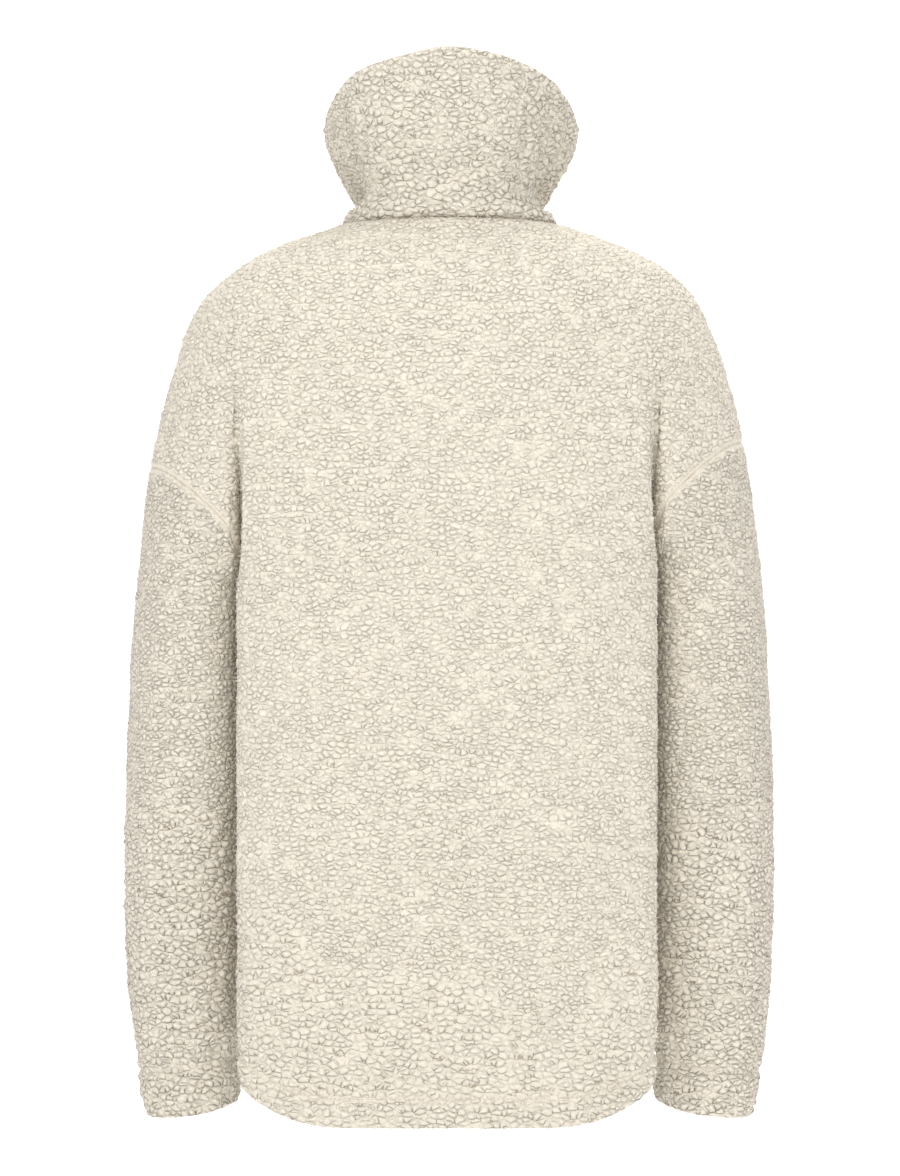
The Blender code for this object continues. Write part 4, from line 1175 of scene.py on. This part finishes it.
def tuft_tree():
    """Small tufts of pile scattered over a cloth's outer face, each leaning its own way."""
    inputs = (
        ("Cloth", "Geometry"), ("Tuft", "Object"), ("Density", "Float"), ("Seed", "Int"),
        ("Least size", "Float"), ("Most size", "Float"), ("Finish", "Material"),
    )
    tree, given, result = geometry_group("scattered_tufts", inputs, "Tufts")
    shape = node(tree, "GeometryNodeObjectInfo")
    pile = node(tree, "GeometryNodeInputNamedAttribute", data_type="FLOAT")
    pile.inputs["Name"].default_value = "pile"
    dense = node(tree, "ShaderNodeMath", operation="MULTIPLY")
    scattered = node(tree, "GeometryNodeDistributePointsOnFaces", distribute_method="RANDOM")
    lean = node(tree, "FunctionNodeRandomValue", data_type="FLOAT_VECTOR")
    lean.inputs["Min"].default_value = (-0.5, -0.5, 0.0)
    lean.inputs["Max"].default_value = (0.5, 0.5, 2.0 * math.pi)
    lean_turn = node(tree, "FunctionNodeEulerToRotation")
    turned = node(tree, "FunctionNodeRotateRotation", rotation_space="LOCAL")
    size = node(tree, "FunctionNodeRandomValue", data_type="FLOAT")
    copies = node(tree, "GeometryNodeInstanceOnPoints")
    whole = node(tree, "GeometryNodeRealizeInstances")
    finish = node(tree, "GeometryNodeSetMaterial")
    link = tree.links.new
    link(given.outputs["Tuft"], shape.inputs["Object"])
    link(given.outputs["Density"], dense.inputs[0])
    link(pile.outputs["Attribute"], dense.inputs[1])
    link(given.outputs["Cloth"], scattered.inputs["Mesh"])
    link(dense.outputs["Value"], scattered.inputs["Density"])
    link(given.outputs["Seed"], scattered.inputs["Seed"])
    link(given.outputs["Seed"], lean.inputs["Seed"])
    link(given.outputs["Seed"], size.inputs["Seed"])
    link(lean.outputs["Value"], lean_turn.inputs["Euler"])
    link(scattered.outputs["Rotation"], turned.inputs["Rotation"])
    link(lean_turn.outputs["Rotation"], turned.inputs["Rotate By"])
    link(given.outputs["Least size"], size.inputs[2])
    link(given.outputs["Most size"], size.inputs[3])
    link(scattered.outputs["Points"], copies.inputs["Points"])
    link(shape.outputs["Geometry"], copies.inputs["Instance"])
    link(turned.outputs["Rotation"], copies.inputs["Rotation"])
    link(size.outputs[1], copies.inputs["Scale"])
    link(copies.outputs["Instances"], whole.inputs["Geometry"])
    link(whole.outputs["Geometry"], finish.inputs["Geometry"])
    link(given.outputs["Finish"], finish.inputs["Material"])
    link(finish.outputs["Geometry"], result.inputs["Tufts"])
    return tree


def made_by_nodes(name, source, tree, settings):
    """A plain mesh piece that a node tree makes from a source object."""
    change = source.modifiers.new(tree.name, "NODES")
    change.node_group = tree
    names = {item.name: item.identifier for item in tree.interface.items_tree if item.in_out == "INPUT"}
    for key, value in settings.items():
        change[names[key]] = value
    source.update_tag()
    bpy.context.view_layer.update()
    evaluated = source.evaluated_get(bpy.context.evaluated_depsgraph_get())
    mesh = bpy.data.meshes.new_from_object(evaluated)
    mesh.name = name
    source.modifiers.remove(change)
    made = bpy.data.objects.new(name, mesh)
    bpy.context.scene.collection.objects.link(made)
    return made


def places_object(name, points, out, along):
    """A guide mesh of single points, each with its way out of the cloth and its own direction."""
    mesh = bpy.data.meshes.new(name)
    mesh.from_pydata((points * MM).tolist(), [], [])
    for key, values in (("out", out), ("along", along)):
        stored = mesh.attributes.new(key, "FLOAT_VECTOR", "POINT")
        stored.data.foreach_set("vector", values.astype(np.float32).ravel())
    made = bpy.data.objects.new(name, mesh)
    bpy.context.scene.collection.objects.link(made)
    return made


def laid_on(points, cloth):
    """Points moved onto a shaped cloth's surface, with its normals there, all in millimetres."""
    surface = BVHTree.FromObject(cloth, bpy.context.evaluated_depsgraph_get())
    found = [surface.find_nearest(Vector(point) * MM) for point in points]
    places = np.array([spot[0] for spot in found]) / MM
    return places, np.array([spot[1] for spot in found])


# Finishes
def shader_group(name, inputs, outputs):
    """A node group with named sockets, and its input and output nodes."""
    tree = bpy.data.node_groups.new(name, "ShaderNodeTree")
    for label, kind, value in inputs:
        socket = tree.interface.new_socket(label, in_out="INPUT", socket_type=kind)
        if value is not None:
            socket.default_value = value
    for label, kind in outputs:
        tree.interface.new_socket(label, in_out="OUTPUT", socket_type=kind)
    return tree, node(tree, "NodeGroupInput"), node(tree, "NodeGroupOutput")


def maths(tree, operation, first, second=None, third=None, clamp=False):
    """A maths node fed by sockets or numbers, and its output."""
    made = node(tree, "ShaderNodeMath", operation=operation, use_clamp=clamp)
    for i, value in enumerate((first, second, third)):
        if value is None:
            continue
        if isinstance(value, (int, float)):
            made.inputs[i].default_value = value
        else:
            tree.links.new(value, made.inputs[i])
    return made.outputs[0]


def ranged(tree, value, low, high, to_low=0.0, to_high=1.0):
    """A value eased from one range to another."""
    made = node(tree, "ShaderNodeMapRange", interpolation_type="SMOOTHSTEP")
    tree.links.new(value, made.inputs["Value"])
    for label, number in (("From Min", low), ("From Max", high), ("To Min", to_low), ("To Max", to_high)):
        if isinstance(number, (int, float)):
            made.inputs[label].default_value = number
        else:
            tree.links.new(number, made.inputs[label])
    return made.outputs["Result"]


def mixed_colour(tree, share, first, second):
    """Two colours mixed by a share."""
    made = node(tree, "ShaderNodeMix", data_type="RGBA")
    tree.links.new(share, made.inputs["Factor"])
    for socket, value in ((made.inputs[6], first), (made.inputs[7], second)):
        if isinstance(value, tuple):
            socket.default_value = (*value, 1.0)
        else:
            tree.links.new(value, socket)
    return made.outputs[2]


def noise_texture(tree, place, scale, detail):
    """A noise read at a place."""
    made = node(tree, "ShaderNodeTexNoise")
    made.inputs["Scale"].default_value = scale
    made.inputs["Detail"].default_value = detail
    tree.links.new(place, made.inputs["Vector"])
    return made


def wave_texture(tree, place, direction, scale, distortion=0.0):
    """Even bands read at a place."""
    made = node(tree, "ShaderNodeTexWave", bands_direction=direction)
    made.inputs["Scale"].default_value = scale
    made.inputs["Distortion"].default_value = distortion
    tree.links.new(place, made.inputs["Vector"])
    return made.outputs["Fac"]


def mixed_number(tree, share, first, second):
    """Two values mixed by a share."""
    gap = maths(tree, "SUBTRACT", second, first)
    return maths(tree, "MULTIPLY_ADD", gap, share, first)


# Curled pile: how fine its noises are, to a metre; how far they move the locks' edges, in metres; large locks
WARP_SCALE = 115.0
WARP = 0.0042
GAP_SCALE = 95.0
FIBRE_SCALE = 820.0
LARGE_LOCKS = 0.86


def pile_group():
    """Curled pile: irregular locks with thin cracks between them, darkened by painted shade on each lock's
    underside, finer curls and single fibres.
    """
    tree, given, result = shader_group(
        "curled_pile",
        [
            ("Vector", "NodeSocketVector", None),
            ("Coarse", "NodeSocketFloat", 0.4),
            ("Press", "NodeSocketFloat", 0.0),
            ("Seam", "NodeSocketFloat", 0.0),
            ("Locks", "NodeSocketFloat", 150.0),
            ("Pile colour", "NodeSocketColor", (0.8, 0.75, 0.65, 1.0)),
            ("Crack colour", "NodeSocketColor", (0.5, 0.43, 0.33, 1.0)),
            ("Crack depth", "NodeSocketFloat", 1.0),
        ],
        [("Color", "NodeSocketColor"), ("Height", "NodeSocketFloat"), ("Roughness", "NodeSocketFloat")],
    )
    link = tree.links.new

    def noise(scale, detail):
        return noise_texture(tree, given.outputs["Vector"], scale, detail)

    centred = node(tree, "ShaderNodeVectorMath", operation="SUBTRACT")
    centred.inputs[1].default_value = (0.5, 0.5, 0.5)
    link(noise(WARP_SCALE, 2.0).outputs["Color"], centred.inputs[0])
    moved = node(tree, "ShaderNodeVectorMath", operation="MULTIPLY_ADD")
    moved.inputs[1].default_value = (WARP, WARP, WARP)
    link(centred.outputs["Vector"], moved.inputs[0])
    link(given.outputs["Vector"], moved.inputs[2])

    def locks(feature, scaled):
        made = node(tree, "ShaderNodeTexVoronoi", feature=feature)
        link(moved.outputs["Vector"], made.inputs["Vector"])
        link(scaled, made.inputs["Scale"])
        return made

    # Painted shade: the lower half of each lock, which light from above would leave in shade over the crack
    # beneath it.
    def shaded_underside(centres, scaled):
        away = node(tree, "ShaderNodeVectorMath", operation="SUBTRACT")
        link(moved.outputs["Vector"], away.inputs[0])
        link(centres.outputs["Position"], away.inputs[1])
        split = node(tree, "ShaderNodeSeparateXYZ")
        link(away.outputs["Vector"], split.inputs["Vector"])
        return ranged(tree, maths(tree, "MULTIPLY", split.outputs["Z"], scaled), 0.12, -0.30, 0.10, 1.0)

    large = maths(tree, "MULTIPLY", given.outputs["Locks"], LARGE_LOCKS)
    fine_edge = locks("DISTANCE_TO_EDGE", given.outputs["Locks"]).outputs["Distance"]
    large_edge = locks("DISTANCE_TO_EDGE", large).outputs["Distance"]
    fine_centre = locks("F1", given.outputs["Locks"])
    large_centre = locks("F1", large)
    tint = fine_centre.outputs["Color"]
    coarse = given.outputs["Coarse"]
    mostly = ranged(tree, coarse, 0.50, 0.53)
    edge = mixed_number(tree, mostly, fine_edge, large_edge)
    middle = mixed_number(tree, mostly, fine_centre.outputs["Distance"], large_centre.outputs["Distance"])
    fine_shaded_underside = shaded_underside(fine_centre, given.outputs["Locks"])
    large_shaded_underside = shaded_underside(large_centre, large)
    below = mixed_number(tree, mostly, fine_shaded_underside, large_shaded_underside)
    dome = ranged(tree, middle, 0.75, 0.05)
    pillow = maths(tree, "MULTIPLY_ADD", ranged(tree, edge, 0.0, 0.22), 0.55, dome)
    broken = ranged(tree, noise(GAP_SCALE, 3.0).outputs["Fac"], 0.38, 0.56, 0.20, 1.0)
    fibre = noise(FIBRE_SCALE, 3.0).outputs["Fac"]
    # Painted shade: the cracks between locks, broken up and kept to each lock's underside, darken the colour
    # the way shade from above would. The same mask also sinks the relief.
    shaded_crack = maths(tree, "SUBTRACT", 1.0, ranged(tree, edge, 0.01, 0.085))
    shaded_crack = maths(tree, "MULTIPLY", shaded_crack, broken)
    shaded_crack = maths(tree, "MULTIPLY", shaded_crack, below)
    flat = maths(tree, "MULTIPLY_ADD", given.outputs["Press"], -0.80, 1.0)
    strong = maths(tree, "MULTIPLY_ADD", coarse, 0.7, 0.75)
    strong = maths(tree, "MULTIPLY", strong, given.outputs["Crack depth"])
    shaded_crack = maths(tree, "MULTIPLY", shaded_crack, strong)
    shaded_crack = maths(tree, "MULTIPLY", shaded_crack, flat)
    height = maths(tree, "MULTIPLY_ADD", shaded_crack, -0.5, pillow)
    height = maths(tree, "MULTIPLY_ADD", fibre, 0.30, height)
    height = maths(tree, "MULTIPLY", height, flat)
    parts = node(tree, "ShaderNodeSeparateColor")
    link(tint, parts.inputs["Color"])
    # How far the colour moves towards the dark colour: painted shade in the cracks and seam grooves, plus the
    # locks' own random tone, fibres and pressed bands.
    shade = maths(tree, "MULTIPLY", shaded_crack, 1.05)
    shade = maths(tree, "MULTIPLY_ADD", parts.outputs["Red"], 0.08, shade)
    shade = maths(tree, "MULTIPLY_ADD", fibre, 0.30, shade)
    # Painted shade along the seam grooves.
    shade = maths(tree, "MULTIPLY_ADD", given.outputs["Seam"], 0.35, shade)
    shade = maths(tree, "MULTIPLY_ADD", given.outputs["Press"], 0.10, shade)
    shade = maths(tree, "SUBTRACT", shade, 0.17, clamp=True)
    colour = mixed_colour(tree, shade, given.outputs["Pile colour"], given.outputs["Crack colour"])
    glint = ranged(tree, fibre, 0.62, 0.72, 0.0, 0.6)
    colour = mixed_colour(tree, glint, colour, (0.95, 0.93, 0.88))
    rough = maths(tree, "MULTIPLY_ADD", fibre, -0.12, 1.0)
    link(colour, result.inputs["Color"])
    link(height, result.inputs["Height"])
    link(rough, result.inputs["Roughness"])
    return tree


def named_value(tree, name):
    """A number that the mesh stores for each point."""
    made = node(tree, "ShaderNodeAttribute", attribute_name=name)
    return made.outputs["Fac"]


def new_finish(name):
    """An empty material with its Principled shader."""
    made = bpy.data.materials.new(name)
    made.use_nodes = True
    return made, made.node_tree, made.node_tree.nodes["Principled BSDF"]


def add_relief(tree, shader, height, distance):
    """Relief in metres from a height."""
    relief = node(tree, "ShaderNodeBump")
    relief.inputs["Strength"].default_value = 1.0
    relief.inputs["Distance"].default_value = distance
    tree.links.new(height, relief.inputs["Height"])
    tree.links.new(relief.outputs["Normal"], shader.inputs["Normal"])


def pile_finish(name, group, locks, pile, shaded_crack, depth, relief):
    """A fleece finish with its own lock size, colours and depth."""
    made, tree, shader = new_finish(name)
    place = node(tree, "ShaderNodeTexCoord")
    stretch = node(tree, "ShaderNodeMapping")
    stretch.inputs["Scale"].default_value = (1.0, 1.0, 1.35)
    tree.links.new(place.outputs["Object"], stretch.inputs["Vector"])
    curls = node(tree, "ShaderNodeGroup", node_tree=group)
    tree.links.new(stretch.outputs["Vector"], curls.inputs["Vector"])
    for label, attribute in (("Coarse", "coarse"), ("Press", "press"), ("Seam", "seam")):
        tree.links.new(named_value(tree, attribute), curls.inputs[label])
    curls.inputs["Locks"].default_value = locks
    curls.inputs["Pile colour"].default_value = (*pile, 1.0)
    curls.inputs["Crack colour"].default_value = (*shaded_crack, 1.0)
    curls.inputs["Crack depth"].default_value = depth
    tree.links.new(curls.outputs["Color"], shader.inputs["Base Color"])
    tree.links.new(curls.outputs["Roughness"], shader.inputs["Roughness"])
    shader.inputs["Sheen Weight"].default_value = 0.22
    shader.inputs["Sheen Roughness"].default_value = 0.55
    shader.inputs["Sheen Tint"].default_value = (1.0, 0.97, 0.92, 1.0)
    shader.inputs["Specular IOR Level"].default_value = 0.2
    add_relief(tree, shader, curls.outputs["Height"], relief)
    return made


def tuft_finish():
    """Loose pile ends, lighter than the locks."""
    made, tree, shader = new_finish("loose_pile_ends")
    place = node(tree, "ShaderNodeTexCoord")
    tone = noise_texture(tree, place.outputs["Object"], 160.0, 2.0).outputs["Fac"]
    share = ranged(tree, tone, 0.35, 0.65)
    colour = mixed_colour(tree, share, (0.82, 0.76, 0.65), (0.92, 0.88, 0.79))
    tree.links.new(colour, shader.inputs["Base Color"])
    tree.links.new(ranged(tree, tone, 0.3, 0.7, 0.85, 1.0), shader.inputs["Roughness"])
    shader.inputs["Sheen Weight"].default_value = 0.2
    shader.inputs["Specular IOR Level"].default_value = 0.2
    return made


def woven_finish():
    """The zip's tape: a fine herringbone weave."""
    made, tree, shader = new_finish("woven_zip_tape")
    place = node(tree, "ShaderNodeTexCoord")
    warp = wave_texture(tree, place.outputs["Object"], "Z", 420.0, 1.2)
    weft = wave_texture(tree, place.outputs["Object"], "X", 520.0, 0.8)
    height = maths(tree, "MULTIPLY", warp, weft)
    colour = mixed_colour(tree, height, (0.55, 0.50, 0.41), (0.76, 0.71, 0.61))
    tree.links.new(colour, shader.inputs["Base Color"])
    tree.links.new(ranged(tree, height, 0.0, 1.0, 0.95, 0.75), shader.inputs["Roughness"])
    add_relief(tree, shader, height, 0.0003)
    return made


def thread_finish():
    """Sewing thread, with its twist."""
    made, tree, shader = new_finish("ivory_thread")
    place = node(tree, "ShaderNodeTexCoord")
    twist = wave_texture(tree, place.outputs["Object"], "DIAGONAL", 900.0)
    colour = mixed_colour(tree, twist, (0.66, 0.60, 0.50), (0.86, 0.82, 0.73))
    tree.links.new(colour, shader.inputs["Base Color"])
    tree.links.new(ranged(tree, twist, 0.0, 1.0, 0.8, 0.6), shader.inputs["Roughness"])
    add_relief(tree, shader, twist, 0.0002)
    return made


def brushed_group():
    """Brushed metal: long fine scratches, soft stains and worn tone."""
    tree, given, result = shader_group(
        "brushed_metal",
        [
            ("Vector", "NodeSocketVector", None),
            ("Dark", "NodeSocketColor", (0.4, 0.38, 0.35, 1.0)),
            ("Light", "NodeSocketColor", (0.7, 0.68, 0.64, 1.0)),
            ("Least roughness", "NodeSocketFloat", 0.22),
        ],
        [("Color", "NodeSocketColor"), ("Height", "NodeSocketFloat"), ("Roughness", "NodeSocketFloat")],
    )
    link = tree.links.new
    long = node(tree, "ShaderNodeMapping")
    long.inputs["Scale"].default_value = (1.0, 0.06, 0.06)
    link(given.outputs["Vector"], long.inputs["Vector"])
    lines = noise_texture(tree, long.outputs["Vector"], 9000.0, 2.0)
    stain = noise_texture(tree, given.outputs["Vector"], 500.0, 3.0)
    tone = maths(tree, "MULTIPLY_ADD", lines.outputs["Fac"], 0.5, stain.outputs["Fac"])
    share = ranged(tree, tone, 0.5, 1.0)
    link(mixed_colour(tree, share, given.outputs["Dark"], given.outputs["Light"]), result.inputs["Color"])
    link(lines.outputs["Fac"], result.inputs["Height"])
    rough = maths(tree, "MULTIPLY_ADD", stain.outputs["Fac"], 0.3, given.outputs["Least roughness"])
    link(rough, result.inputs["Roughness"])
    return tree


def metal_finish(name, group, dark, light, least):
    """A brushed metal with its own tone."""
    made, tree, shader = new_finish(name)
    place = node(tree, "ShaderNodeTexCoord")
    brushed = node(tree, "ShaderNodeGroup", node_tree=group)
    tree.links.new(place.outputs["Object"], brushed.inputs["Vector"])
    brushed.inputs["Dark"].default_value = (*dark, 1.0)
    brushed.inputs["Light"].default_value = (*light, 1.0)
    brushed.inputs["Least roughness"].default_value = least
    tree.links.new(brushed.outputs["Color"], shader.inputs["Base Color"])
    tree.links.new(brushed.outputs["Roughness"], shader.inputs["Roughness"])
    shader.inputs["Metallic"].default_value = 1.0
    add_relief(tree, shader, brushed.outputs["Height"], 0.00004)
    return made


curled_pile = pile_group()
brushed_metal = brushed_group()
# Each pair gives the pile's own colour, then the dark colour of painted shade mixed into cracks and seam
# grooves.
body_pile_and_shade_colours = ((0.865, 0.805, 0.69), (0.42, 0.35, 0.26))
arm_pile_and_shade_colours = ((0.86, 0.80, 0.685), (0.38, 0.31, 0.225))
PILES = (
    # name, locks to a metre, pile colour and painted crack shade colour, crack depth and painted shade
    # strength, relief in metres
    ("ivory_pile_back", 172.0, body_pile_and_shade_colours, 0.78, 0.0013),
    ("ivory_pile_front", 171.0, body_pile_and_shade_colours, 0.78, 0.0013),
    ("ivory_pile_sleeves", 176.0, arm_pile_and_shade_colours, 0.88, 0.0017),
    ("ivory_pile_collar", 160.0, body_pile_and_shade_colours, 0.85, 0.0017),
)
back_pile, front_pile, sleeve_pile, collar_pile = (
    pile_finish(name, curled_pile, locks, *colours, depth, relief)
    for name, locks, colours, depth, relief in PILES
)
pile_ends = tuft_finish()
tape_weave = woven_finish()
thread = thread_finish()
teeth_tones = ((0.42, 0.40, 0.37), (0.70, 0.68, 0.64))
slider_tones = ((0.45, 0.43, 0.40), (0.75, 0.73, 0.69))
tooth_metal = metal_finish("satin_nickel_teeth", brushed_metal, *teeth_tones, 0.25)
slider_metal = metal_finish("satin_nickel_slider", brushed_metal, *slider_tones, 0.18)

cloth_finishes = (
    (back, back_pile), (front_left, front_pile), (front_right, front_pile),
    (sleeve_left, sleeve_pile), (sleeve_right, sleeve_pile), (collar, collar_pile),
)
for piece, finish in cloth_finishes:
    piece.data.materials.append(finish)
for name in ("zip_slider", "zip_pull"):
    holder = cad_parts[name]
    for slot in holder.material_slots:
        slot.material = slider_metal

# Zip halves
tooth = tooth_shape()
stitch = stitch_shape()
copying = repeated_shape_tree()
tapes = {}
teeth = {}
for side, word in ((LEFT, "left"), (RIGHT, "right")):
    tapes[side] = zip_tape(f"zip_{word}_tape", side)
    tapes[side].data.materials.append(tape_weave)
    spine, out, shares, length = zip_line(side)
    start = TEETH_END + (TOOTH_PITCH / 2.0 if side == RIGHT else 0.0)
    places = np.arange(start, length - TEETH_END, TOOTH_PITCH) / length
    at, away, across = line_frame(spine, out, shares, places, side)
    guide = places_object(f"tooth_places_{word}", at, away, across)
    choices = {"Shape": tooth, "Size": 1.0, "Finish": tooth_metal}
    teeth[side] = made_by_nodes(f"zip_{word}_teeth", guide, copying, choices)
    bpy.data.objects.remove(guide)


def stitch_run(points, cloth):
    """Evenly spaced stitches laid on a cloth along a line: places, ways out and ways along."""
    length = float(np.linalg.norm(np.diff(points, axis=0), axis=1).sum())
    even = resampled(points, max(int(length / STITCH_PITCH), 2))
    places, out = laid_on(even, cloth)
    along = unit(np.gradient(places, axis=0))
    return places, out, along


# Stitch lines: hem, cuffs, armholes, front edges and the collar's front edges
cloths = {(BACK, LEFT): back, (BACK, RIGHT): back, (FRONT, LEFT): front_left, (FRONT, RIGHT): front_right}
arms = {LEFT: sleeve_left, RIGHT: sleeve_right}
runs = []
for (face, side), cloth in cloths.items():
    columns = np.linspace(*HEM_STITCHES)
    band = hem_z(face, columns) + HEM_BAND
    runs.append(stitch_run(shell_points(side, face, columns, band, False), cloth))
    columns = np.linspace(*ARM_STITCHES)
    seam = armhole_z(side, columns) + ARMHOLE_STITCH_DOWN
    runs.append(stitch_run(shell_points(side, face, columns, seam, True), cloth))
    share = (1.0 + np.cos(np.radians(sleeve_angle(columns)))) / 2.0
    cuff = CUFF_Z + CUFF_INNER_RISE * share * share + CUFF_BAND
    runs.append(stitch_run(shell_points(side, face, columns, cuff, True), arms[side]))
for side, cloth in ((LEFT, front_left), (RIGHT, front_right)):
    z = np.linspace(HEM_CENTRE_Z[FRONT] + 6.0, NECK_SIDE_Z - NECK_FRONT_DROP - 4.0, EDGE_STITCHES)
    edge = shell_points(side, FRONT, np.full(len(z), 0.08), z, False)
    edge[:, 0] = side * (front_edge_x(z) + EDGE_STITCH_IN)
    runs.append(stitch_run(edge, cloth))
for column in COLLAR_STITCH_COLUMNS:
    runs.append(stitch_run(collar_grid[2:-2, column], collar))
guide = places_object("stitch_places", *(np.concatenate([run[i] for run in runs]) for i in range(3)))
stitches = made_by_nodes("stitches", guide, copying, {"Shape": stitch, "Size": 1.0, "Finish": thread})
bpy.data.objects.remove(guide)
bpy.data.objects.remove(tooth)
bpy.data.objects.remove(stitch)


def tuft_shape():
    """One loose end of pile: a thin leaning spike."""
    points = [(0.44, 0.0, -0.4), (-0.22, 0.38, -0.4), (-0.22, -0.38, -0.4), (0.80, 0.25, 2.4)]
    made = mesh_piece("tuft_shape", points, [(0, 2, 1), (0, 1, 3), (1, 2, 3), (2, 0, 3)])
    face_outwards(made)
    return made


# Loose pile ends over each piece of cloth
tuft = tuft_shape()
scattering = tuft_tree()
loose_ends = {}
for seed, piece in enumerate((back, front_left, front_right, sleeve_left, sleeve_right, collar), 1):
    choices = {"Tuft": tuft, "Density": TUFT_DENSITY, "Seed": seed, "Finish": pile_ends}
    choices.update({"Least size": TUFT_SIZES[0], "Most size": TUFT_SIZES[1]})
    name = piece.name.replace("cloth", "loose_ends")
    loose_ends[piece.name] = made_by_nodes(name, piece, scattering, choices)
bpy.data.objects.remove(tuft)
for piece in (*loose_ends.values(), stitches):
    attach(piece, "jacket")

# Riding, and standing for the plain solids
for piece, solid in (
    (back, "back"), (front_left, "front_left"), (front_right, "front_right"),
    (sleeve_left, "sleeve_left"), (sleeve_right, "sleeve_right"), (collar, "collar"),
):
    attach(piece, "jacket")
    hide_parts(solid)
for side, word in ((LEFT, "left"), (RIGHT, "right")):
    for piece, slot in ((tapes[side], "zip_tape"), (teeth[side], "zip_metal")):
        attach(piece, "jacket")
        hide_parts(f"zip_{word}")

# Studio, in metres
FLOOR_Z = -0.80
FLOOR_ENDS = (-7.0, 1.0, 6.0)
COVE_RADIUS = 1.2
COVE_STEPS = 12
WALL_TOP_Z = 5.5
STUDIO_HALF_WIDE = 8.0


def stage_piece():
    """A pale floor that curves up into a backdrop."""
    profile = [(y, FLOOR_Z) for y in FLOOR_ENDS]
    for step in range(1, COVE_STEPS + 1):
        turn = math.radians(90.0 * step / COVE_STEPS)
        away = FLOOR_ENDS[-1] + COVE_RADIUS * math.sin(turn)
        profile.append((away, FLOOR_Z + COVE_RADIUS * (1.0 - math.cos(turn))))
    profile.append((FLOOR_ENDS[-1] + COVE_RADIUS, WALL_TOP_Z))
    points = [(x, y, z) for y, z in profile for x in (-STUDIO_HALF_WIDE, STUDIO_HALF_WIDE)]
    faces = [(2 * i, 2 * i + 1, 2 * i + 3, 2 * i + 2) for i in range(len(profile) - 1)]
    mesh = bpy.data.meshes.new("studio_floor")
    mesh.from_pydata(points, [], faces)
    mesh.shade_smooth()
    made = bpy.data.objects.new("studio_floor", mesh)
    bpy.context.scene.collection.objects.link(made)
    finish, tree, shader = new_finish("pale_studio_paper")
    place = node(tree, "ShaderNodeTexCoord")
    grain = noise_texture(tree, place.outputs["Object"], 30.0, 2.0)
    colour = mixed_colour(tree, grain.outputs["Fac"], (0.90, 0.90, 0.90), (0.93, 0.93, 0.93))
    tree.links.new(colour, shader.inputs["Base Color"])
    shader.inputs["Roughness"].default_value = 0.9
    parts = node(tree, "ShaderNodeSeparateXYZ")
    tree.links.new(place.outputs["Object"], parts.inputs["Vector"])
    far = ranged(tree, parts.outputs["Y"], 1.0, 6.0)
    glow = mixed_colour(tree, far, (0.35, 0.35, 0.35), (0.80, 0.80, 0.80))
    tree.links.new(glow, shader.inputs["Emission Color"])
    shader.inputs["Emission Strength"].default_value = 1.0
    made.data.materials.append(finish)


def area_light(name, place, target, size, power, colour):
    """A soft square light aimed at a point."""
    data = bpy.data.lights.new(name, "AREA")
    data.shape = "SQUARE"
    data.size = size
    data.energy = power
    data.color = colour
    made = bpy.data.objects.new(name, data)
    made.location = place
    made.rotation_euler = (Vector(target) - Vector(place)).to_track_quat("-Z", "Y").to_euler()
    bpy.context.scene.collection.objects.link(made)


LIGHTS = (
    # name, place, target, size, power, colour
    ("key_light", (-0.6, -2.1, 2.5), (0.0, 0.0, -0.2), 1.7, 49.0, (1.0, 0.985, 0.96)),
    ("camera_side_light", (0.3, -4.2, 1.2), (0.0, 0.0, -0.3), 2.4, 25.0, (1.0, 0.99, 0.97)),
    ("top_light", (0.3, 0.2, 2.8), (0.0, 0.0, -0.1), 2.0, 30.0, (1.0, 1.0, 1.0)),
    ("front_light", (1.2, 2.8, 2.2), (0.0, 0.0, -0.3), 2.0, 50.0, (1.0, 0.99, 0.97)),
)
stage_piece()
for light in LIGHTS:
    area_light(*light)

world = bpy.data.worlds.new("studio_air")
world.use_nodes = True
world.node_tree.nodes["Background"].inputs["Color"].default_value = (1.0, 1.0, 1.0, 1.0)
world.node_tree.nodes["Background"].inputs["Strength"].default_value = 0.52
bpy.context.scene.world = world
bpy.context.scene.view_settings.view_transform = "Standard"

camera_data = bpy.data.cameras.new("camera")
camera_data.sensor_fit = "VERTICAL"
camera_data.sensor_height = 24.0
camera_data.lens = 127.55
camera = bpy.data.objects.new("camera", camera_data)
camera.location = (0.0024, -5.0, -0.288)
camera.rotation_euler = (math.radians(90.0), 0.0, 0.0)
bpy.context.scene.collection.objects.link(camera)
bpy.context.scene.camera = camera
